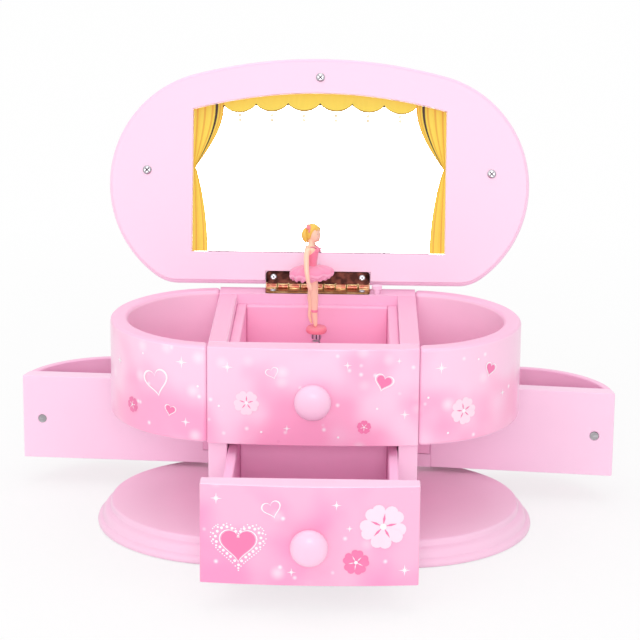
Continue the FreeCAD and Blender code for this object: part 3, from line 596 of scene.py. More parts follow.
class MUSICBOX_OT_boards(bpy.types.Operator):
    """Painted boards and shells with rounded edges"""
    bl_idname = "music_box.boards"
    bl_label = "Painted boards"

    level = 0.9
    film_reach = 0.79524

    def execute(self, context):
        edge = sizes().edge
        thin = [n for n in NODES if n.endswith(("tray_wall", "liner")) or n in
                ("drawer_left_side", "drawer_right_side", "drawer_back")]
        thick = [n for n in NODES if n.endswith(("end_shell", "side_board", "tray_board"))]
        thick += ["back_board", "upper_front_panel", "drawer_front", "lid_cover"]
        # Drawer sides and back take the inside paint, painted lighter against the shade in the drawer
        cavity = paint("drawer_inside_paint", looks().cavity, 0.5, 0.06)
        for node in thin:
            soften(node, edge * 0.7, cavity if node.startswith("drawer") else None)
        for node in thick:
            soften(node, edge * 1.5 if "shell" in node else edge)
        soften("lid_frame", edge, paint("lid_paint", looks().lid, 0.36))
        for side in ("left", "right"):
            self.paint_column(bpy.data.objects[side + "_side_board_finished"])
        tone = looks()
        for node in ("left_end_shell", "right_end_shell", "upper_front_panel", "drawer_front"):
            deep, pale = tone.film_deep, tone.film_pale
            if node == "drawer_front":
                deep, pale = tone.drawer_deep, tone.drawer_pale
            self.lay_film(bpy.data.objects[node + "_finished"], film(node + "_film", node, deep, pale))
        return {"FINISHED"}

    def paint_column(self, obj):
        """Pale column boards with deeper top edges."""
        tone = looks()
        obj.data.materials.append(paint("column_paint", tone.column, 0.36))
        obj.data.materials.append(paint("top_edge_paint", tone.top_edge, 0.36))
        for polygon in obj.data.polygons:
            polygon.material_index = 2 if polygon.normal.z > self.level else 1

    def lay_film(self, obj, material):
        """Printed film on the outward faces of a front or shell, and paint on a shell's inner ones."""
        obj.data.materials.append(material)
        obj.data.materials.append(paint("well_paint", looks().well, 0.45))
        shell = "shell" in obj.name
        for polygon in obj.data.polygons:
            normal = polygon.normal
            centre = polygon.center
            if abs(normal.z) > 0.3:
                continue
            outward = normal.y < -0.6
            if shell:
                reach = (centre.x / BODY_HALF_WIDTH) ** 2 + (centre.y / BODY_HALF_DEPTH) ** 2
                outward = normal.x * centre.x + normal.y * centre.y > 0 and reach > self.film_reach
            if outward:
                polygon.material_index = 1
            elif shell:
                polygon.material_index = 2


class MUSICBOX_OT_base(bpy.types.Operator):
    """Base with an ogee moulding round its edge"""
    bl_idname = "music_box.base"
    bl_label = "Moulded base"

    def execute(self, context):
        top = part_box("base_plate")[1].z
        profile = [(1.2, 0.0), (0.2, 0.6), (0.0, 1.6), (0.4, 3.0), (1.6, 3.9), (2.4, 4.1), (2.5, 4.5),
                   (2.9, 6.2), (3.8, 7.6), (5.2, 8.5), (6.3, 8.8), (6.5, 9.2), (6.5, 10.6), (6.9, 11.6),
                   (7.8, 12.0)]
        height = profile[-1][1]
        rows = [base_outline(inset * MM, z / height * top) for inset, z in profile]
        mesh = grid_mesh("base_moulding", rows, True)
        # Painted light: the moulding's sides and the flat top take two tones of one paint
        edge = paint("moulding_paint", looks().moulding, 0.3)
        finishes = [slot_material("base"), edge]
        obj = add_piece("base_moulding", mesh, "cabinet", "base", finishes, ["base_plate"])
        for polygon in obj.data.polygons:
            if abs(polygon.normal.z) < 0.98:
                polygon.material_index = 1
        return {"FINISHED"}


class MUSICBOX_OT_hinge(bpy.types.Operator):
    """Antique lid hinge with rounded corners, copper knuckles, rubbed gilt edges and painted highlight lines
    along its knuckles
    """
    bl_idname = "music_box.hinge"
    bl_label = "Lid hinge"

    corner = 1.7 * MM
    knuckle_reach = 2.15 * MM
    chamfer = 0.4 * MM
    line_place = 1.72 * MM
    line_end = 0.12 * MM
    line_thick = 0.26 * MM
    # Turns round the knuckle axis where the painted highlight lines lie, for the lid's leaf and the body's
    lid_highlight_turns = (0.62, 2.2)
    body_highlight_turns = (1.9, 2.5)

    def execute(self, context):
        tone = looks()
        dark = slot_material("hinge")
        # Gilt for the rubbed knuckle ends and for the painted highlight lines on the knuckles
        gilt_wear_and_highlight = metal("hinge_gilt", tone.gilt_wear_and_highlight, srgb(255, 236, 196), 0.6)
        copper = metal("hinge_copper", tone.copper, tone.gilt_wear_and_highlight, 0.5, 500)
        brass = metal("hinge_brass", srgb(150, 104, 66), tone.gilt_wear_and_highlight, 0.5, 240)
        axis = Vector(JOINTS["lid_hinge"]["pos_m"])
        for node, plate in (("lid_hinge_leaf", dark), ("body_hinge_leaf", brass)):
            mesh, work = cad_copy(node)
            self.round_corners(work, axis)
            self.ring_ends(work, axis)
            work.to_mesh(mesh)
            work.free()
            finishes = [plate, gilt_wear_and_highlight, copper]
            obj = add_piece(node + "_finished", mesh, BODY_OF[node], "hinge", finishes, [node], False)
            for polygon in mesh.polygons:
                if self.away(polygon.center, axis) < self.knuckle_reach and polygon.material_index == 0:
                    polygon.material_index = 2
                    polygon.use_smooth = True
            settle(obj)
            self.knuckle_highlight_lines(node, axis, gilt_wear_and_highlight)
        return {"FINISHED"}

    def away(self, point, axis):
        return math.hypot(point.y - axis.y, point.z - axis.z)

    def round_corners(self, work, axis):
        """Round the two outer corners of a leaf."""
        reach = max(self.away(v.co, axis) for v in work.verts)
        wide = max(v.co.x for v in work.verts)
        edges = []
        for edge in work.edges:
            middle = (edge.verts[0].co + edge.verts[1].co) / 2
            at_end = abs(abs(middle.x) - wide) < 0.05 * MM
            if at_end and self.away(middle, axis) > reach - 0.5 * MM and edge.calc_length() < 1.5 * MM:
                edges.append(edge)
        bmesh.ops.bevel(work, geom=edges, offset=self.corner, segments=5, profile=0.5, affect="EDGES")

    def ring_ends(self, work, axis):
        """Chamfer the ends of the knuckles in gilt."""
        edges = []
        for edge in work.edges:
            a, b = (vert.co for vert in edge.verts)
            level = abs(a.x - b.x) < 0.02 * MM
            near = self.away(a, axis) < self.knuckle_reach and self.away(b, axis) < self.knuckle_reach
            if level and near and self.away((a + b) / 2, axis) > 1.2 * MM and edge.calc_face_angle(0.0) > 0.9:
                edges.append(edge)
        bmesh.ops.bevel(work, geom=edges, offset=self.chamfer, segments=1, profile=0.5, affect="EDGES",
                        material=1)

    def knuckle_highlight_lines(self, node, axis, gilt_wear_and_highlight):
        """Painted highlights: gilt lines along the top and bottom of each knuckle of a leaf, where the
        knuckles catch the light.
        """
        angles = self.lid_highlight_turns if BODY_OF[node] == "lid" else self.body_highlight_turns
        radii = [self.line_end, self.line_thick, self.line_thick, self.line_end]
        points = [v.co for v in NODES[node].data.vertices if self.away(v.co, axis) < 1.8 * MM]
        places = sorted(set(round(p.x / MM, 1) for p in points))
        spans = []
        for a, b in zip(places, places[1:]):
            if b - a > 3.5 and not any(abs(a - other) < 0.3 for other in (s[1] for s in spans)):
                spans.append((a, b))
        meshes = []
        for a, b in spans:
            for turn in angles:
                y = axis.y - self.line_place * math.sin(turn)
                z = axis.z + self.line_place * math.cos(turn)
                path = [Vector((x * MM, y, z)) for x in (a + 0.3, a + 0.6, b - 0.6, b - 0.3)]
                meshes.append(tube("line", path, radii, 10))
        add_joined(node + "_lines", meshes, BODY_OF[node], "hinge", gilt_wear_and_highlight)


class MUSICBOX_OT_tray_ends(bpy.types.Operator):
    """Ends of the tray boards, above and below their hinges, that reach to the column"""
    bl_idname = "music_box.tray_ends"
    bl_label = "Tray ends"

    clear = 0.3 * MM
    least = 1 * MM
    cut = 0.5 * MM

    def execute(self, context):
        for side in ("left", "right"):
            axis = Vector(JOINTS[side + "_tray_swing"]["pos_m"])
            board = NODES[side + "_tray_board"].data
            centre = sum((v.co for v in board.vertices), Vector()) / len(board.vertices)
            toward = Vector((axis.x - centre.x, axis.y - centre.y, 0)).normalized()
            faces = [p for p in board.polygons if abs(p.normal.z) < 0.1 and p.normal.dot(toward) > 0.9]
            if not faces:
                raise RuntimeError("no hinge end on the %s tray board" % side)
            along = sum((p.normal * p.area for p in faces), Vector()).normalized()
            across = along.cross(Vector((0, 0, 1)))
            corners = [board.vertices[index].co for p in faces for index in p.vertices]
            start = max(p.dot(along) for p in corners) - self.clear
            reach = axis.dot(along) - self.clear
            sides = (min(p.dot(across) for p in corners), max(p.dot(across) for p in corners))
            low, high = min(p.z for p in corners), max(p.z for p in corners)
            leaf_low, leaf_high = (corner.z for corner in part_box(side + "_tray_hinge_leaf"))
            meshes = []
            for z0, z1 in ((low, leaf_low - self.clear), (leaf_high + self.clear, high)):
                if z1 - z0 > self.least:
                    meshes.append(self.strip(along, across, (start, reach), sides, (z0, z1)))
            if meshes:
                body = BODY_OF[side + "_tray_board"]
                add_joined(side + "_tray_end", meshes, body, "pale", slot_material("pale"), (), False)
        return {"FINISHED"}

    def strip(self, along, across, run, sides, heights):
        """Closed block with chamfered upright edges at its far end."""
        cut = self.cut
        outline = [(run[0], sides[0]), (run[1] - cut, sides[0]), (run[1], sides[0] + cut),
                   (run[1], sides[1] - cut), (run[1] - cut, sides[1]), (run[0], sides[1])]
        rows = [[along * a + across * b + Vector((0, 0, z)) for a, b in outline] for z in heights]
        return grid_mesh("strip", rows, True)


class MUSICBOX_OT_screws(bpy.types.Operator):
    """Painted shade for the cross recesses: flat dark crosses laid on the heads of the lid's and hinge's
    screws
    """
    bl_idname = "music_box.screws"
    bl_label = "Screw recesses"

    spacing = 4 * MM
    lift = 0.03 * MM
    bar_share = 1.15

    def heads(self, node):
        """Vertices of a screws node, one list for each screw."""
        points = sorted((v.co.copy() for v in NODES[node].data.vertices), key=lambda p: p.x)
        groups = [[points[0]]]
        for point in points[1:]:
            if point.x - groups[-1][-1].x > self.spacing:
                groups.append([])
            groups[-1].append(point)
        return groups

    def execute(self, context):
        lean = Matrix.Rotation(-math.radians(JOINTS["lid_hinge"]["range_deg"][1]), 3, "X")
        # Painted shade: the dark metal of the crosses stands for the shade in the screws' cross recesses
        dark = metal("screw_recess", srgb(58, 52, 56), srgb(96, 90, 96), 0.5, 900)
        bar = [(-0.5, -0.11), (0.5, -0.11), (0.5, 0.11), (-0.5, 0.11)]
        inward = lean @ Vector((0, 0, -1))
        facing = {"lid_screws": inward, "lid_hinge_screws": inward, "body_hinge_screws": Vector((0, 0, 1))}
        for node, out in facing.items():
            meshes = []
            for points in self.heads(node):
                top = max(p.dot(out) for p in points)
                middle = sum(points, Vector()) / len(points)
                radius = max((p - middle).cross(out).length for p in points)
                centre = middle + out * (top - middle.dot(out) + self.lift)
                across = Vector((1, 0, 0))
                up = out.cross(across)

                def place(a, b, centre=centre, across=across, up=up):
                    return centre + across * a + up * b

                for turn in (0.25, 0.75):
                    meshes.append(motif_mesh("bar", bar, place, radius * self.bar_share, math.pi * turn))
            add_joined(node + "_recess", meshes, BODY_OF[node], "steel", dark, (), False)
        return {"FINISHED"}


class MUSICBOX_OT_fittings(bpy.types.Operator):
    """Finishes for the CAD pieces that keep their shape"""
    bl_idname = "music_box.fittings"
    bl_label = "Fittings"

    def execute(self, context):
        for node, obj in NODES.items():
            if not obj.hide_render:
                slot = SLOT_OF[node]
                finish = slot_material("body" if "tray_hinge" in node else slot)
                # The drawer's floor takes the same inside paint, painted lighter against the shade in the
                # drawer
                if node == "drawer_bottom":
                    finish = bpy.data.materials["drawer_inside_paint"]
                obj.data.materials.clear()
                obj.data.materials.append(finish)
                turned = node.endswith(("knob", "screws", "key"))
                for polygon in obj.data.polygons:
                    polygon.use_smooth = len(polygon.vertices) == 3 and turned
        return {"FINISHED"}


class MUSICBOX_OT_knobs(bpy.types.Operator):
    """Turned and lacquered knobs"""
    bl_idname = "music_box.knobs"
    bl_label = "Knobs"

    def execute(self, context):
        profile = [(4.6, 0.0), (4.7, 0.6), (4.0, 1.6), (3.7, 2.8), (4.3, 4.2), (6.4, 5.4), (8.0, 6.7),
                   (8.6, 8.2), (8.4, 9.7), (7.5, 11.1), (5.8, 12.2), (3.4, 12.8), (1.2, 13.0), (0.05, 13.0)]
        for node in ("upper_knob", "drawer_knob"):
            low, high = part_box(node)
            middle = (low + high) / 2
            face_y = low.y + profile[-1][1] * MM
            rows = []
            for radius, out in profile:
                rows.append([Vector((middle.x + radius * MM * math.cos(a), face_y - out * MM,
                                     middle.z + radius * MM * math.sin(a))) for a in turns(48)])
            mesh = grid_mesh(node + "_turned", rows, True)
            add_piece(node + "_turned", mesh, BODY_OF[node], "knob", slot_material("knob"), [node])
        return {"FINISHED"}


class MUSICBOX_OT_curtain(bpy.types.Operator):
    """Gold stage curtain printed on the mirror, with beads under its valance"""
    bl_idname = "music_box.curtain"
    bl_label = "Mirror curtain"

    half = 64.35 * MM
    low = 17.4 * MM
    top = 98.35 * MM
    arch = 8.7 * MM
    tie = 60.2 * MM
    drape_wide = 15.4 * MM
    drape_tie = 1.2 * MM
    drape_peak = 91.5 * MM
    hem_wide = 7.8 * MM
    cusp_top = 93.0 * MM
    cusp_fall = 1.4 * MM
    hang = 3.9 * MM
    scallop_columns = 24
    knot_top = 92.8 * MM
    knot_size = 1.0 * MM
    bead_heights = (87.0 * MM, 84.7 * MM)
    bead_size = 1.9 * MM
    core_size = 1.0 * MM
    lining_place = 0.76
    lining_foot = 1.5 * MM

    def top_at(self, x):
        return self.top - self.arch * (x / self.half) ** 2

    def sheet(self, name, point_at, across, up, relief, folds, material, lift=PRINT_LIFT):
        """Printed area with shallow folds; point_at maps shares across and up to the lid's x and v."""
        rows = []
        for r in range(up + 1):
            row = []
            for c in range(across + 1):
                x, v = point_at(c / across, r / up)
                fold = 0.5 + 0.5 * math.cos(2 * math.pi * folds * c / across)
                row.append(lid_point(x, v, MIRROR_DEPTH - lift - relief * fold))
            rows.append(row)
        return add_piece(name, grid_mesh(name, rows), "lid", "brass", material)

    def execute(self, context):
        tone = looks()
        relief = sizes().curtain_relief
        gold = paint("curtain_gold", tone.gold, 0.5, 0.1, 0.1)
        shade = paint("curtain_shade", tone.gold_shade, 0.5, 0.1, 0.1)
        dark = paint("curtain_lining", tone.curtain_dark, 0.5, 0.1, 0.1)
        trim = paint("curtain_trim", srgb(178, 142, 66), 0.5, 0.1, 0.1)
        count = sizes().curtain_scallops
        inner = self.half - self.drape_wide
        span = 2 * inner / count
        for index in range(count):
            x0 = -inner + index * span

            def scallop(u, w, x0=x0):
                x = x0 + span * u
                share = (x / inner) ** 2
                cusp = self.cusp_top - self.cusp_fall * share
                hang = self.hang * math.sin(math.pi * u) ** 0.7
                return x, cusp - hang + (self.top_at(x) - cusp + hang) * w

            columns = self.scallop_columns
            piece = self.sheet("valance_%d" % index, scallop, columns, 10, relief, 3, [gold, trim])
            for polygon in piece.data.polygons:
                polygon.material_index = 1 if polygon.index < columns else 0
            self.beads(index, x0 + span / 2, trim)
            self.cusp(index, x0, dark)
        for side, word in ((-1, "left"), (1, "right")):
            self.drape(side, word, relief, gold, shade, dark)

        # Painted shade: a thin dark strip along the bottom of the mirror window stands for the shade in the
        # gap there
        def gap_shade_strip(u, w):
            return (self.half - self.hem_wide) * (2 * u - 1), self.low - 0.1 * MM + 0.5 * MM * w

        self.sheet("mirror_gap_shade_strip", gap_shade_strip, 2, 1, 0.0, 1, paint("mirror_gap_shade_paint", srgb(120, 96, 110), 0.4))
        return {"FINISHED"}

    def cusp(self, index, x, dark):
        """Small dark knot where two scallops meet."""
        v = self.knot_top - self.cusp_fall * (x / (self.half - self.drape_wide)) ** 2

        def place(a, b):
            return lid_point(x + a, v + b, MIRROR_DEPTH - PRINT_LIFT * 2 - sizes().curtain_relief)

        knot = motif_mesh("knot", dot_outline(), place, self.knot_size)
        add_piece("valance_knot_%d" % index, knot, "lid", "brass", dark, (), False)

    def beads(self, index, x, shade):
        """Two small gilt beads with bright middles under a scallop."""
        bright = paint("bead_bright", srgb(252, 246, 214), 0.25, 0.02)
        rings = []
        cores = []
        for v in self.bead_heights:

            def place(a, b, v=v):
                return lid_point(x + a, v + b, MIRROR_DEPTH - PRINT_LIFT)

            def raised(a, b, v=v):
                return lid_point(x + a, v + b, MIRROR_DEPTH - PRINT_LIFT * 2)

            rings.append(motif_mesh("bead", dot_outline(), place, self.bead_size))
            cores.append(motif_mesh("core", dot_outline(), raised, self.core_size))
        meshes = [join_meshes("rings", rings, True), join_meshes("cores", cores, True)]
        joined = join_meshes("beads", meshes)
        add_piece("beads_%d" % index, joined, "lid", "brass", [shade, bright], (), False)

    def reach(self, v):
        """How far a drape comes in from the window's side at a height."""
        if v >= self.tie:
            share = min((v - self.tie) / (self.drape_peak - self.tie), 1.0)
            return self.drape_tie + (self.drape_wide - self.drape_tie) * math.sin(math.pi / 2 * share)
        share = (self.tie - v) / (self.tie - self.low)
        return self.drape_tie + (self.hem_wide - self.drape_tie) * math.sin(math.pi / 2 * share) ** 0.8

    def drape(self, side, word, relief, gold, shade, dark):
        def upper(u, w):
            peak = self.top_at(self.half - self.drape_wide * u)
            v = self.tie + (peak - self.tie) * w
            return side * (self.half - self.reach(v) * u), v

        def lower(u, w):
            v = self.low + (self.tie - self.low) * w
            return side * (self.half - self.reach(v) * u), v

        def lining(u, w):
            peak = self.top_at(self.half - self.drape_wide * self.lining_place)
            v = self.tie + self.lining_foot + (peak - self.tie - self.lining_foot) * w
            wide = (0.2 + 1.2 * w) * MM
            return side * (self.half - self.reach(v) * self.lining_place + wide * (u - 0.5)), v

        top = self.sheet("drape_upper_" + word, upper, 32, 24, relief, 4, [gold, shade])
        bottom = self.sheet("drape_lower_" + word, lower, 24, 24, relief, 2, [gold, shade])
        # Painted shade: faces in the troughs of the folds take the shade tone, as does the last column at the
        # drape's inner edge
        for piece, across, folds in ((top, 32, 4), (bottom, 24, 2)):
            for polygon in piece.data.polygons:
                place = (polygon.index % across + 0.5) / across
                fold = (place * folds) % 1.0
                polygon.material_index = 1 if 0.42 < fold < 0.58 or place > 0.95 else 0
        self.sheet("drape_lining_" + word, lining, 3, 20, 0.0, 1, dark, PRINT_LIFT * 2 + relief)


class MUSICBOX_OT_prints(bpy.types.Operator):
    """Hearts, blossoms and sparkles printed on the cabinet and the drawer"""
    bl_idname = "music_box.prints"
    bl_label = "Printed motifs"

    def motif(self, layers, tone, outline, spot, size, turn=0.0, layer=1, shift=0.0, offset=(0.0, 0.0)):
        s, z = spot

        def place(a, b):
            point = body_wall(s + a + offset[0], z + b + offset[1], PRINT_LIFT * layer)
            point.y += shift
            return point

        layers.setdefault(tone, []).append(motif_mesh("motif", outline, place, size, turn))

    def line_heart(self, layers, spot, size, turn=0.0, shift=0.0, width=0.14):
        """A heart drawn as one soft line."""
        s, z = spot
        outer = heart_outline(40)
        cosine, sine = math.cos(turn), math.sin(turn)
        rows = []
        for scale in (1.0, 1.0 - width):
            row = []
            for x, y in outer:
                a = size * scale * (x * cosine - y * sine)
                b = size * scale * (x * sine + y * cosine)
                point = body_wall(s + a, z + b, PRINT_LIFT * 1.5)
                point.y += shift
                row.append(point)
            row.append(row[0])
            rows.append(row)
        layers.setdefault("white", []).append(grid_mesh("heart_line", rows))

    def ringed_heart(self, layers, spot, size, turn=0.0, shift=0.0):
        self.motif(layers, "rose", heart_outline(), spot, size * 0.74, turn, 1, shift)
        self.line_heart(layers, spot, size, turn, shift)

    def blossom(self, layers, spot, size, turn=0.0, shift=0.0, petal="blush", heart="rose"):
        """Five notched petals, each with a deeper blush at its foot, round a small eye."""
        for step in range(5):
            angle = turn + 2 * math.pi * step / 5
            lean = angle - math.pi / 2
            layer = 1 + 0.2 * step
            away = (0.27 * size * math.cos(angle), 0.27 * size * math.sin(angle))
            near = (0.17 * size * math.cos(angle), 0.17 * size * math.sin(angle))
            self.motif(layers, petal, heart_outline(), spot, size * 0.56, lean, layer, shift, away)
            self.motif(layers, heart, sparkle_outline(2, 0.1), spot, size * 0.26, lean, 2.2, shift, near)
        self.motif(layers, "white", dot_outline(20), spot, size * 0.14, 0.0, 3, shift)

    def sparkle(self, layers, spot, size, shift=0.0):
        self.motif(layers, "white", sparkle_outline(4, 0.09), spot, size, 0.0, 1, shift)
        self.motif(layers, "white", sparkle_outline(4, 0.12), spot, size * 0.55, math.pi / 4, 1.3, shift)

    def dots_along(self, layers, outline, spot, size, dot, shift, kept):
        """A row of dots that follows an outline, clear of those kept so far."""
        s, z = spot
        for x, y in outline:
            centre = Vector((s + x * size, z + y * size))
            if all((centre - other).length > dot * 1.5 for other in kept):
                kept.append(centre)
                self.motif(layers, "white", dot_outline(10), tuple(centre), dot, 0.0, 1, shift)

    def execute(self, context):
        unit = sizes().motif
        low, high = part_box("upper_front_panel")
        middle = (low.z + high.z) / 2
        cabinet = {}
        self.blossom(cabinet, (-31 * MM, middle - 3 * MM), unit * 1.7, 0.3)
        self.line_heart(cabinet, (-19 * MM, middle + 12 * MM), unit * 0.9, 0.35)
        self.ringed_heart(cabinet, (33 * MM, middle + 8 * MM), unit * 1.35, -0.3)
        self.blossom(cabinet, (24 * MM, middle - 14 * MM), unit * 0.95, 0.9, 0.0, "rose", "white")
        self.line_heart(cabinet, (-76 * MM, middle + 4 * MM), unit * 2.1, 0.25)
        self.ringed_heart(cabinet, (-68 * MM, middle - 9 * MM), unit * 0.9, -0.2)
        self.blossom(cabinet, (-92 * MM, middle - 11 * MM), unit * 1.1, 0.1, 0.0, "rose", "white")
        self.blossom(cabinet, (72 * MM, middle - 8 * MM), unit * 1.9, 0.5)
        self.ringed_heart(cabinet, (88 * MM, middle + 10 * MM), unit * 1.1, -0.4)
        for s, z, size in ((-40, 14, 0.8), (-12, -15, 0.55), (-60, -14, 0.7), (-62, 15, 0.9), (16, 16, 0.6),
                           (43, -8, 0.7), (60, 14, 0.9), (98, -4, 0.6), (-104, 8, 0.8), (40, 18, 0.45)):
            self.sparkle(cabinet, (s * MM, middle + z * MM), unit * size)
        for s, z in ((-24, -17), (-44, -5), (-54, 4), (12, -19), (30, -5), (54, 0), (80, 16), (64, -18),
                     (-84, 16)):
            self.motif(cabinet, "white", dot_outline(), (s * MM, middle + z * MM), unit * 0.16)
        low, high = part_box("drawer_front")
        shift = low.y + BODY_HALF_DEPTH
        middle = (low.z + high.z) / 2
        drawer = {}
        self.blossom(drawer, (33 * MM, middle + 5 * MM), unit * 3.0, 0.2, shift)
        self.blossom(drawer, (21 * MM, middle - 12 * MM), unit * 1.7, 0.8, shift, "rose", "blush")
        self.line_heart(drawer, (-17 * MM, middle + 13 * MM), unit * 1.3, 0.3, shift)
        spot = (-32 * MM, middle - 4 * MM)
        self.motif(drawer, "rose", heart_outline(), spot, unit * 2.2, 0.0, 1, shift)
        self.line_heart(drawer, spot, unit * 2.5, 0.0, shift, 0.06)
        kept = []
        for count, size, dot in ((90, 2.95, 0.2), (90, 3.3, 0.15), (90, 3.6, 0.1)):
            self.dots_along(drawer, heart_outline(count), spot, unit * size, unit * dot, shift, kept)
        for s, z, size in ((12, 15, 0.7), (43, -16, 0.8), (-8, -17, 0.6), (-42, 17, 0.8), (18, 4, 0.5)):
            self.sparkle(drawer, (s * MM, middle + z * MM), unit * size, shift)
        tone = looks()
        inks = {"white": paint("print_white", tone.print_white, 0.4, 0.03),
                "rose": paint("print_rose", tone.print_rose, 0.4, 0.1),
                "blush": paint("print_blush", tone.print_blush, 0.4, 0.1)}
        for body, slot, layers in (("cabinet", "body", cabinet), ("drawer", "pale", drawer)):
            for ink, meshes in layers.items():
                add_joined("%s_print_%s" % (body, ink), meshes, body, slot, inks[ink], (), False)
        return {"FINISHED"}


class MUSICBOX_OT_dancer(bpy.types.Operator):
    """Doll dancer in a gathered net skirt, standing on a disc"""
    bl_idname = "music_box.dancer"
    bl_label = "Dancer"

    skirt_shift = -1.5
    depth = 0.62
    waist_z = 31.2
    waist_out = 2.0
    rim_z = 28.9
    rim_share = 0.7
    wave_steps = 12
    cloth = 0.12 * MM

    def sway(self, z):
        """How far the figure stands to the left of its foot at a height, both in millimetres."""
        return -0.4 - 0.031 * z

    def limb(self, foot, name, stations, sides=24, steps=6):
        """Smooth closed form through rings of (x, y, z, half width, half depth), in millimetres.

        A sixth value tilts the ring across, and is 0 where it is left out.
        """
        stations = [(*station, 0)[:6] for station in stations]
        count = len(stations)
        rows = []
        for index in range(count - 1):
            a, b, c, d = (stations[min(max(index + k, 0), count - 1)] for k in (-1, 0, 1, 2))
            for step in range(steps + (1 if index == count - 2 else 0)):
                t = step / steps
                mid = []
                for p, q, r, u in zip(a, b, c, d):
                    bend = (2 * p - 5 * q + 4 * r - u) * t * t + (3 * q - p - 3 * r + u) * t ** 3
                    mid.append(0.5 * (2 * q + (r - p) * t + bend))
                rows.append(mid)
        rings = []
        for x, y, z, wide, deep, tilt in rows:
            ring = []
            for angle in turns(sides):
                dx = max(wide, 0.02) * math.cos(angle)
                dy = max(deep, 0.02) * math.sin(angle)
                ring.append(foot + Vector((self.sway(z) + x + dx, y + dy, z + tilt * dx)) * MM)
            rings.append(ring)
        return grid_mesh(name, rings, True)

    def cord(self, foot, name, points, radius, sides=10):
        """Thin round strip through points, in millimetres."""
        path = [foot + Vector((self.sway(z) + x, y, z)) * MM for x, y, z in points]
        return tube(name, path, [radius * MM] * len(path), sides)

    def execute(self, context):
        low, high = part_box("dancer_disc")
        foot = Vector(((low.x + high.x) / 2, (low.y + high.y) / 2, high.z))
        self.figure(foot)
        self.outfit(foot)
        self.head(foot)
        self.skirt(foot)
        self.disc()
        return {"FINISHED"}

    def figure(self, foot):
        near = [(-0.1, -0.6, 0.0, 0.5, 0.5), (-0.1, -0.6, 1.0, 1.0, 0.95), (-0.2, -0.6, 4.0, 1.25, 1.15),
                (-0.4, -0.7, 8.2, 1.5, 1.4), (-0.2, -0.9, 12.5, 1.75, 1.6), (-0.3, -1.1, 17.0, 1.95, 1.8),
                (-0.5, -1.2, 22.0, 2.2, 2.1), (-0.6, -1.2, 26.0, 2.3, 2.3), (-0.6, -1.1, 28.0, 1.6, 1.6)]
        far = [(-2.0, 0.9, 1.2, 0.3, 0.3), (-2.4, 0.9, 2.6, 0.75, 0.7), (-2.9, 0.9, 5.2, 0.9, 0.85),
               (-2.6, 0.9, 8.0, 1.0, 1.0), (-2.1, 0.9, 11.0, 1.35, 1.25), (-2.1, 1.0, 14.5, 1.7, 1.5),
               (-1.6, 1.1, 19.0, 1.85, 1.75), (-1.2, 1.2, 24.0, 2.1, 2.1), (-1.0, 1.1, 28.0, 1.6, 1.6)]
        trunk = [(-0.8, 0, 30.0, 1.7, 2.0), (-0.8, 0, 32.0, 1.95, 2.2), (-1.0, 0, 35.5, 2.5, 2.8),
                 (-1.1, 0, 38.4, 2.9, 3.4), (-1.3, 0, 40.0, 2.7, 3.5), (-1.4, 0, 41.0, 1.9, 2.5),
                 (-1.4, 0, 42.0, 1.35, 1.4), (-1.3, 0, 43.6, 1.25, 1.3), (-1.2, 0, 45.0, 1.3, 1.3)]
        meshes = [self.limb(foot, "form", stations) for stations in (near, far, trunk)]
        for side in (-1, 1):
            arm = [(-2.4, 2.6 * side, 41.0, 0.6, 0.6), (-3.0, 3.6 * side, 40.0, 1.3, 1.1),
                   (-3.6, 4.6 * side, 37.0, 1.35, 1.15), (-3.7, 5.9 * side, 33.5, 1.25, 1.05),
                   (-3.6, 7.0 * side, 30.0, 1.2, 1.0), (-3.2, 7.8 * side, 26.4, 1.05, 0.85),
                   (-2.8, 8.0 * side, 24.0, 1.0, 0.75), (-2.5, 8.0 * side, 22.6, 1.2, 0.7),
                   (-2.1, 7.9 * side, 21.0, 0.95, 0.55), (-1.8, 7.8 * side, 20.0, 0.3, 0.25)]
            meshes.append(self.limb(foot, "arm", arm))
        add_joined("dancer_skin", meshes, "dancer", "skin", slot_material("skin"), ["dancer_body"])

    def outfit(self, foot):
        dress = slot_material("tutu")
        bodice = [(-0.7, 0, 25.0, 2.2, 2.8), (-0.7, 0, 27.5, 2.7, 3.2), (-0.7, 0, 31.0, 2.05, 2.3, 0.05),
                  (-0.7, 0, 33.5, 2.3, 2.6, 0.2), (-0.6, 0, 36.2, 2.85, 3.1, 0.5),
                  (-0.5, 0, 38.0, 3.1, 3.45, 0.75), (-0.5, 0, 38.8, 2.6, 2.9, 0.75)]
        bust = []
        for side in (-1, 1):
            shape = [(1.1, 1.4 * side, 37.4, 0.5, 0.6), (1.3, 1.4 * side, 38.4, 1.2, 1.2),
                     (1.2, 1.4 * side, 39.6, 1.2, 1.2), (0.9, 1.4 * side, 40.5, 0.4, 0.5)]
            bust.append(self.limb(foot, "bust", shape, 16))
        band = [(-0.4, -0.7, 7.5, 1.45, 1.35), (-0.4, -0.7, 7.8, 1.72, 1.62), (-0.4, -0.7, 8.6, 1.75, 1.65),
                (-0.4, -0.7, 8.9, 1.5, 1.4)]
        garters = [self.limb(foot, "band", band, 20, 3)]
        meshes = [self.limb(foot, "bodice", bodice)] + bust + garters
        add_joined("dancer_dress", meshes, "dancer", "tutu", dress)
        straps = []
        for side in (-1, 1):
            strap = [(1.5, 1.9 * side, 39.9), (0.6, 2.3 * side, 40.8), (-1.2, 2.6 * side, 41.1),
                     (-2.9, 1.9 * side, 40.2), (-3.8, 0.2 * side, 38.2), (-3.5, -1.4 * side, 36.0)]
            straps.append(self.cord(foot, "strap", strap, 0.28))
        edge = paint("strap_satin", srgb(226, 118, 148), 0.35, 0.05)
        add_joined("dancer_straps", straps, "dancer", "tutu", edge)

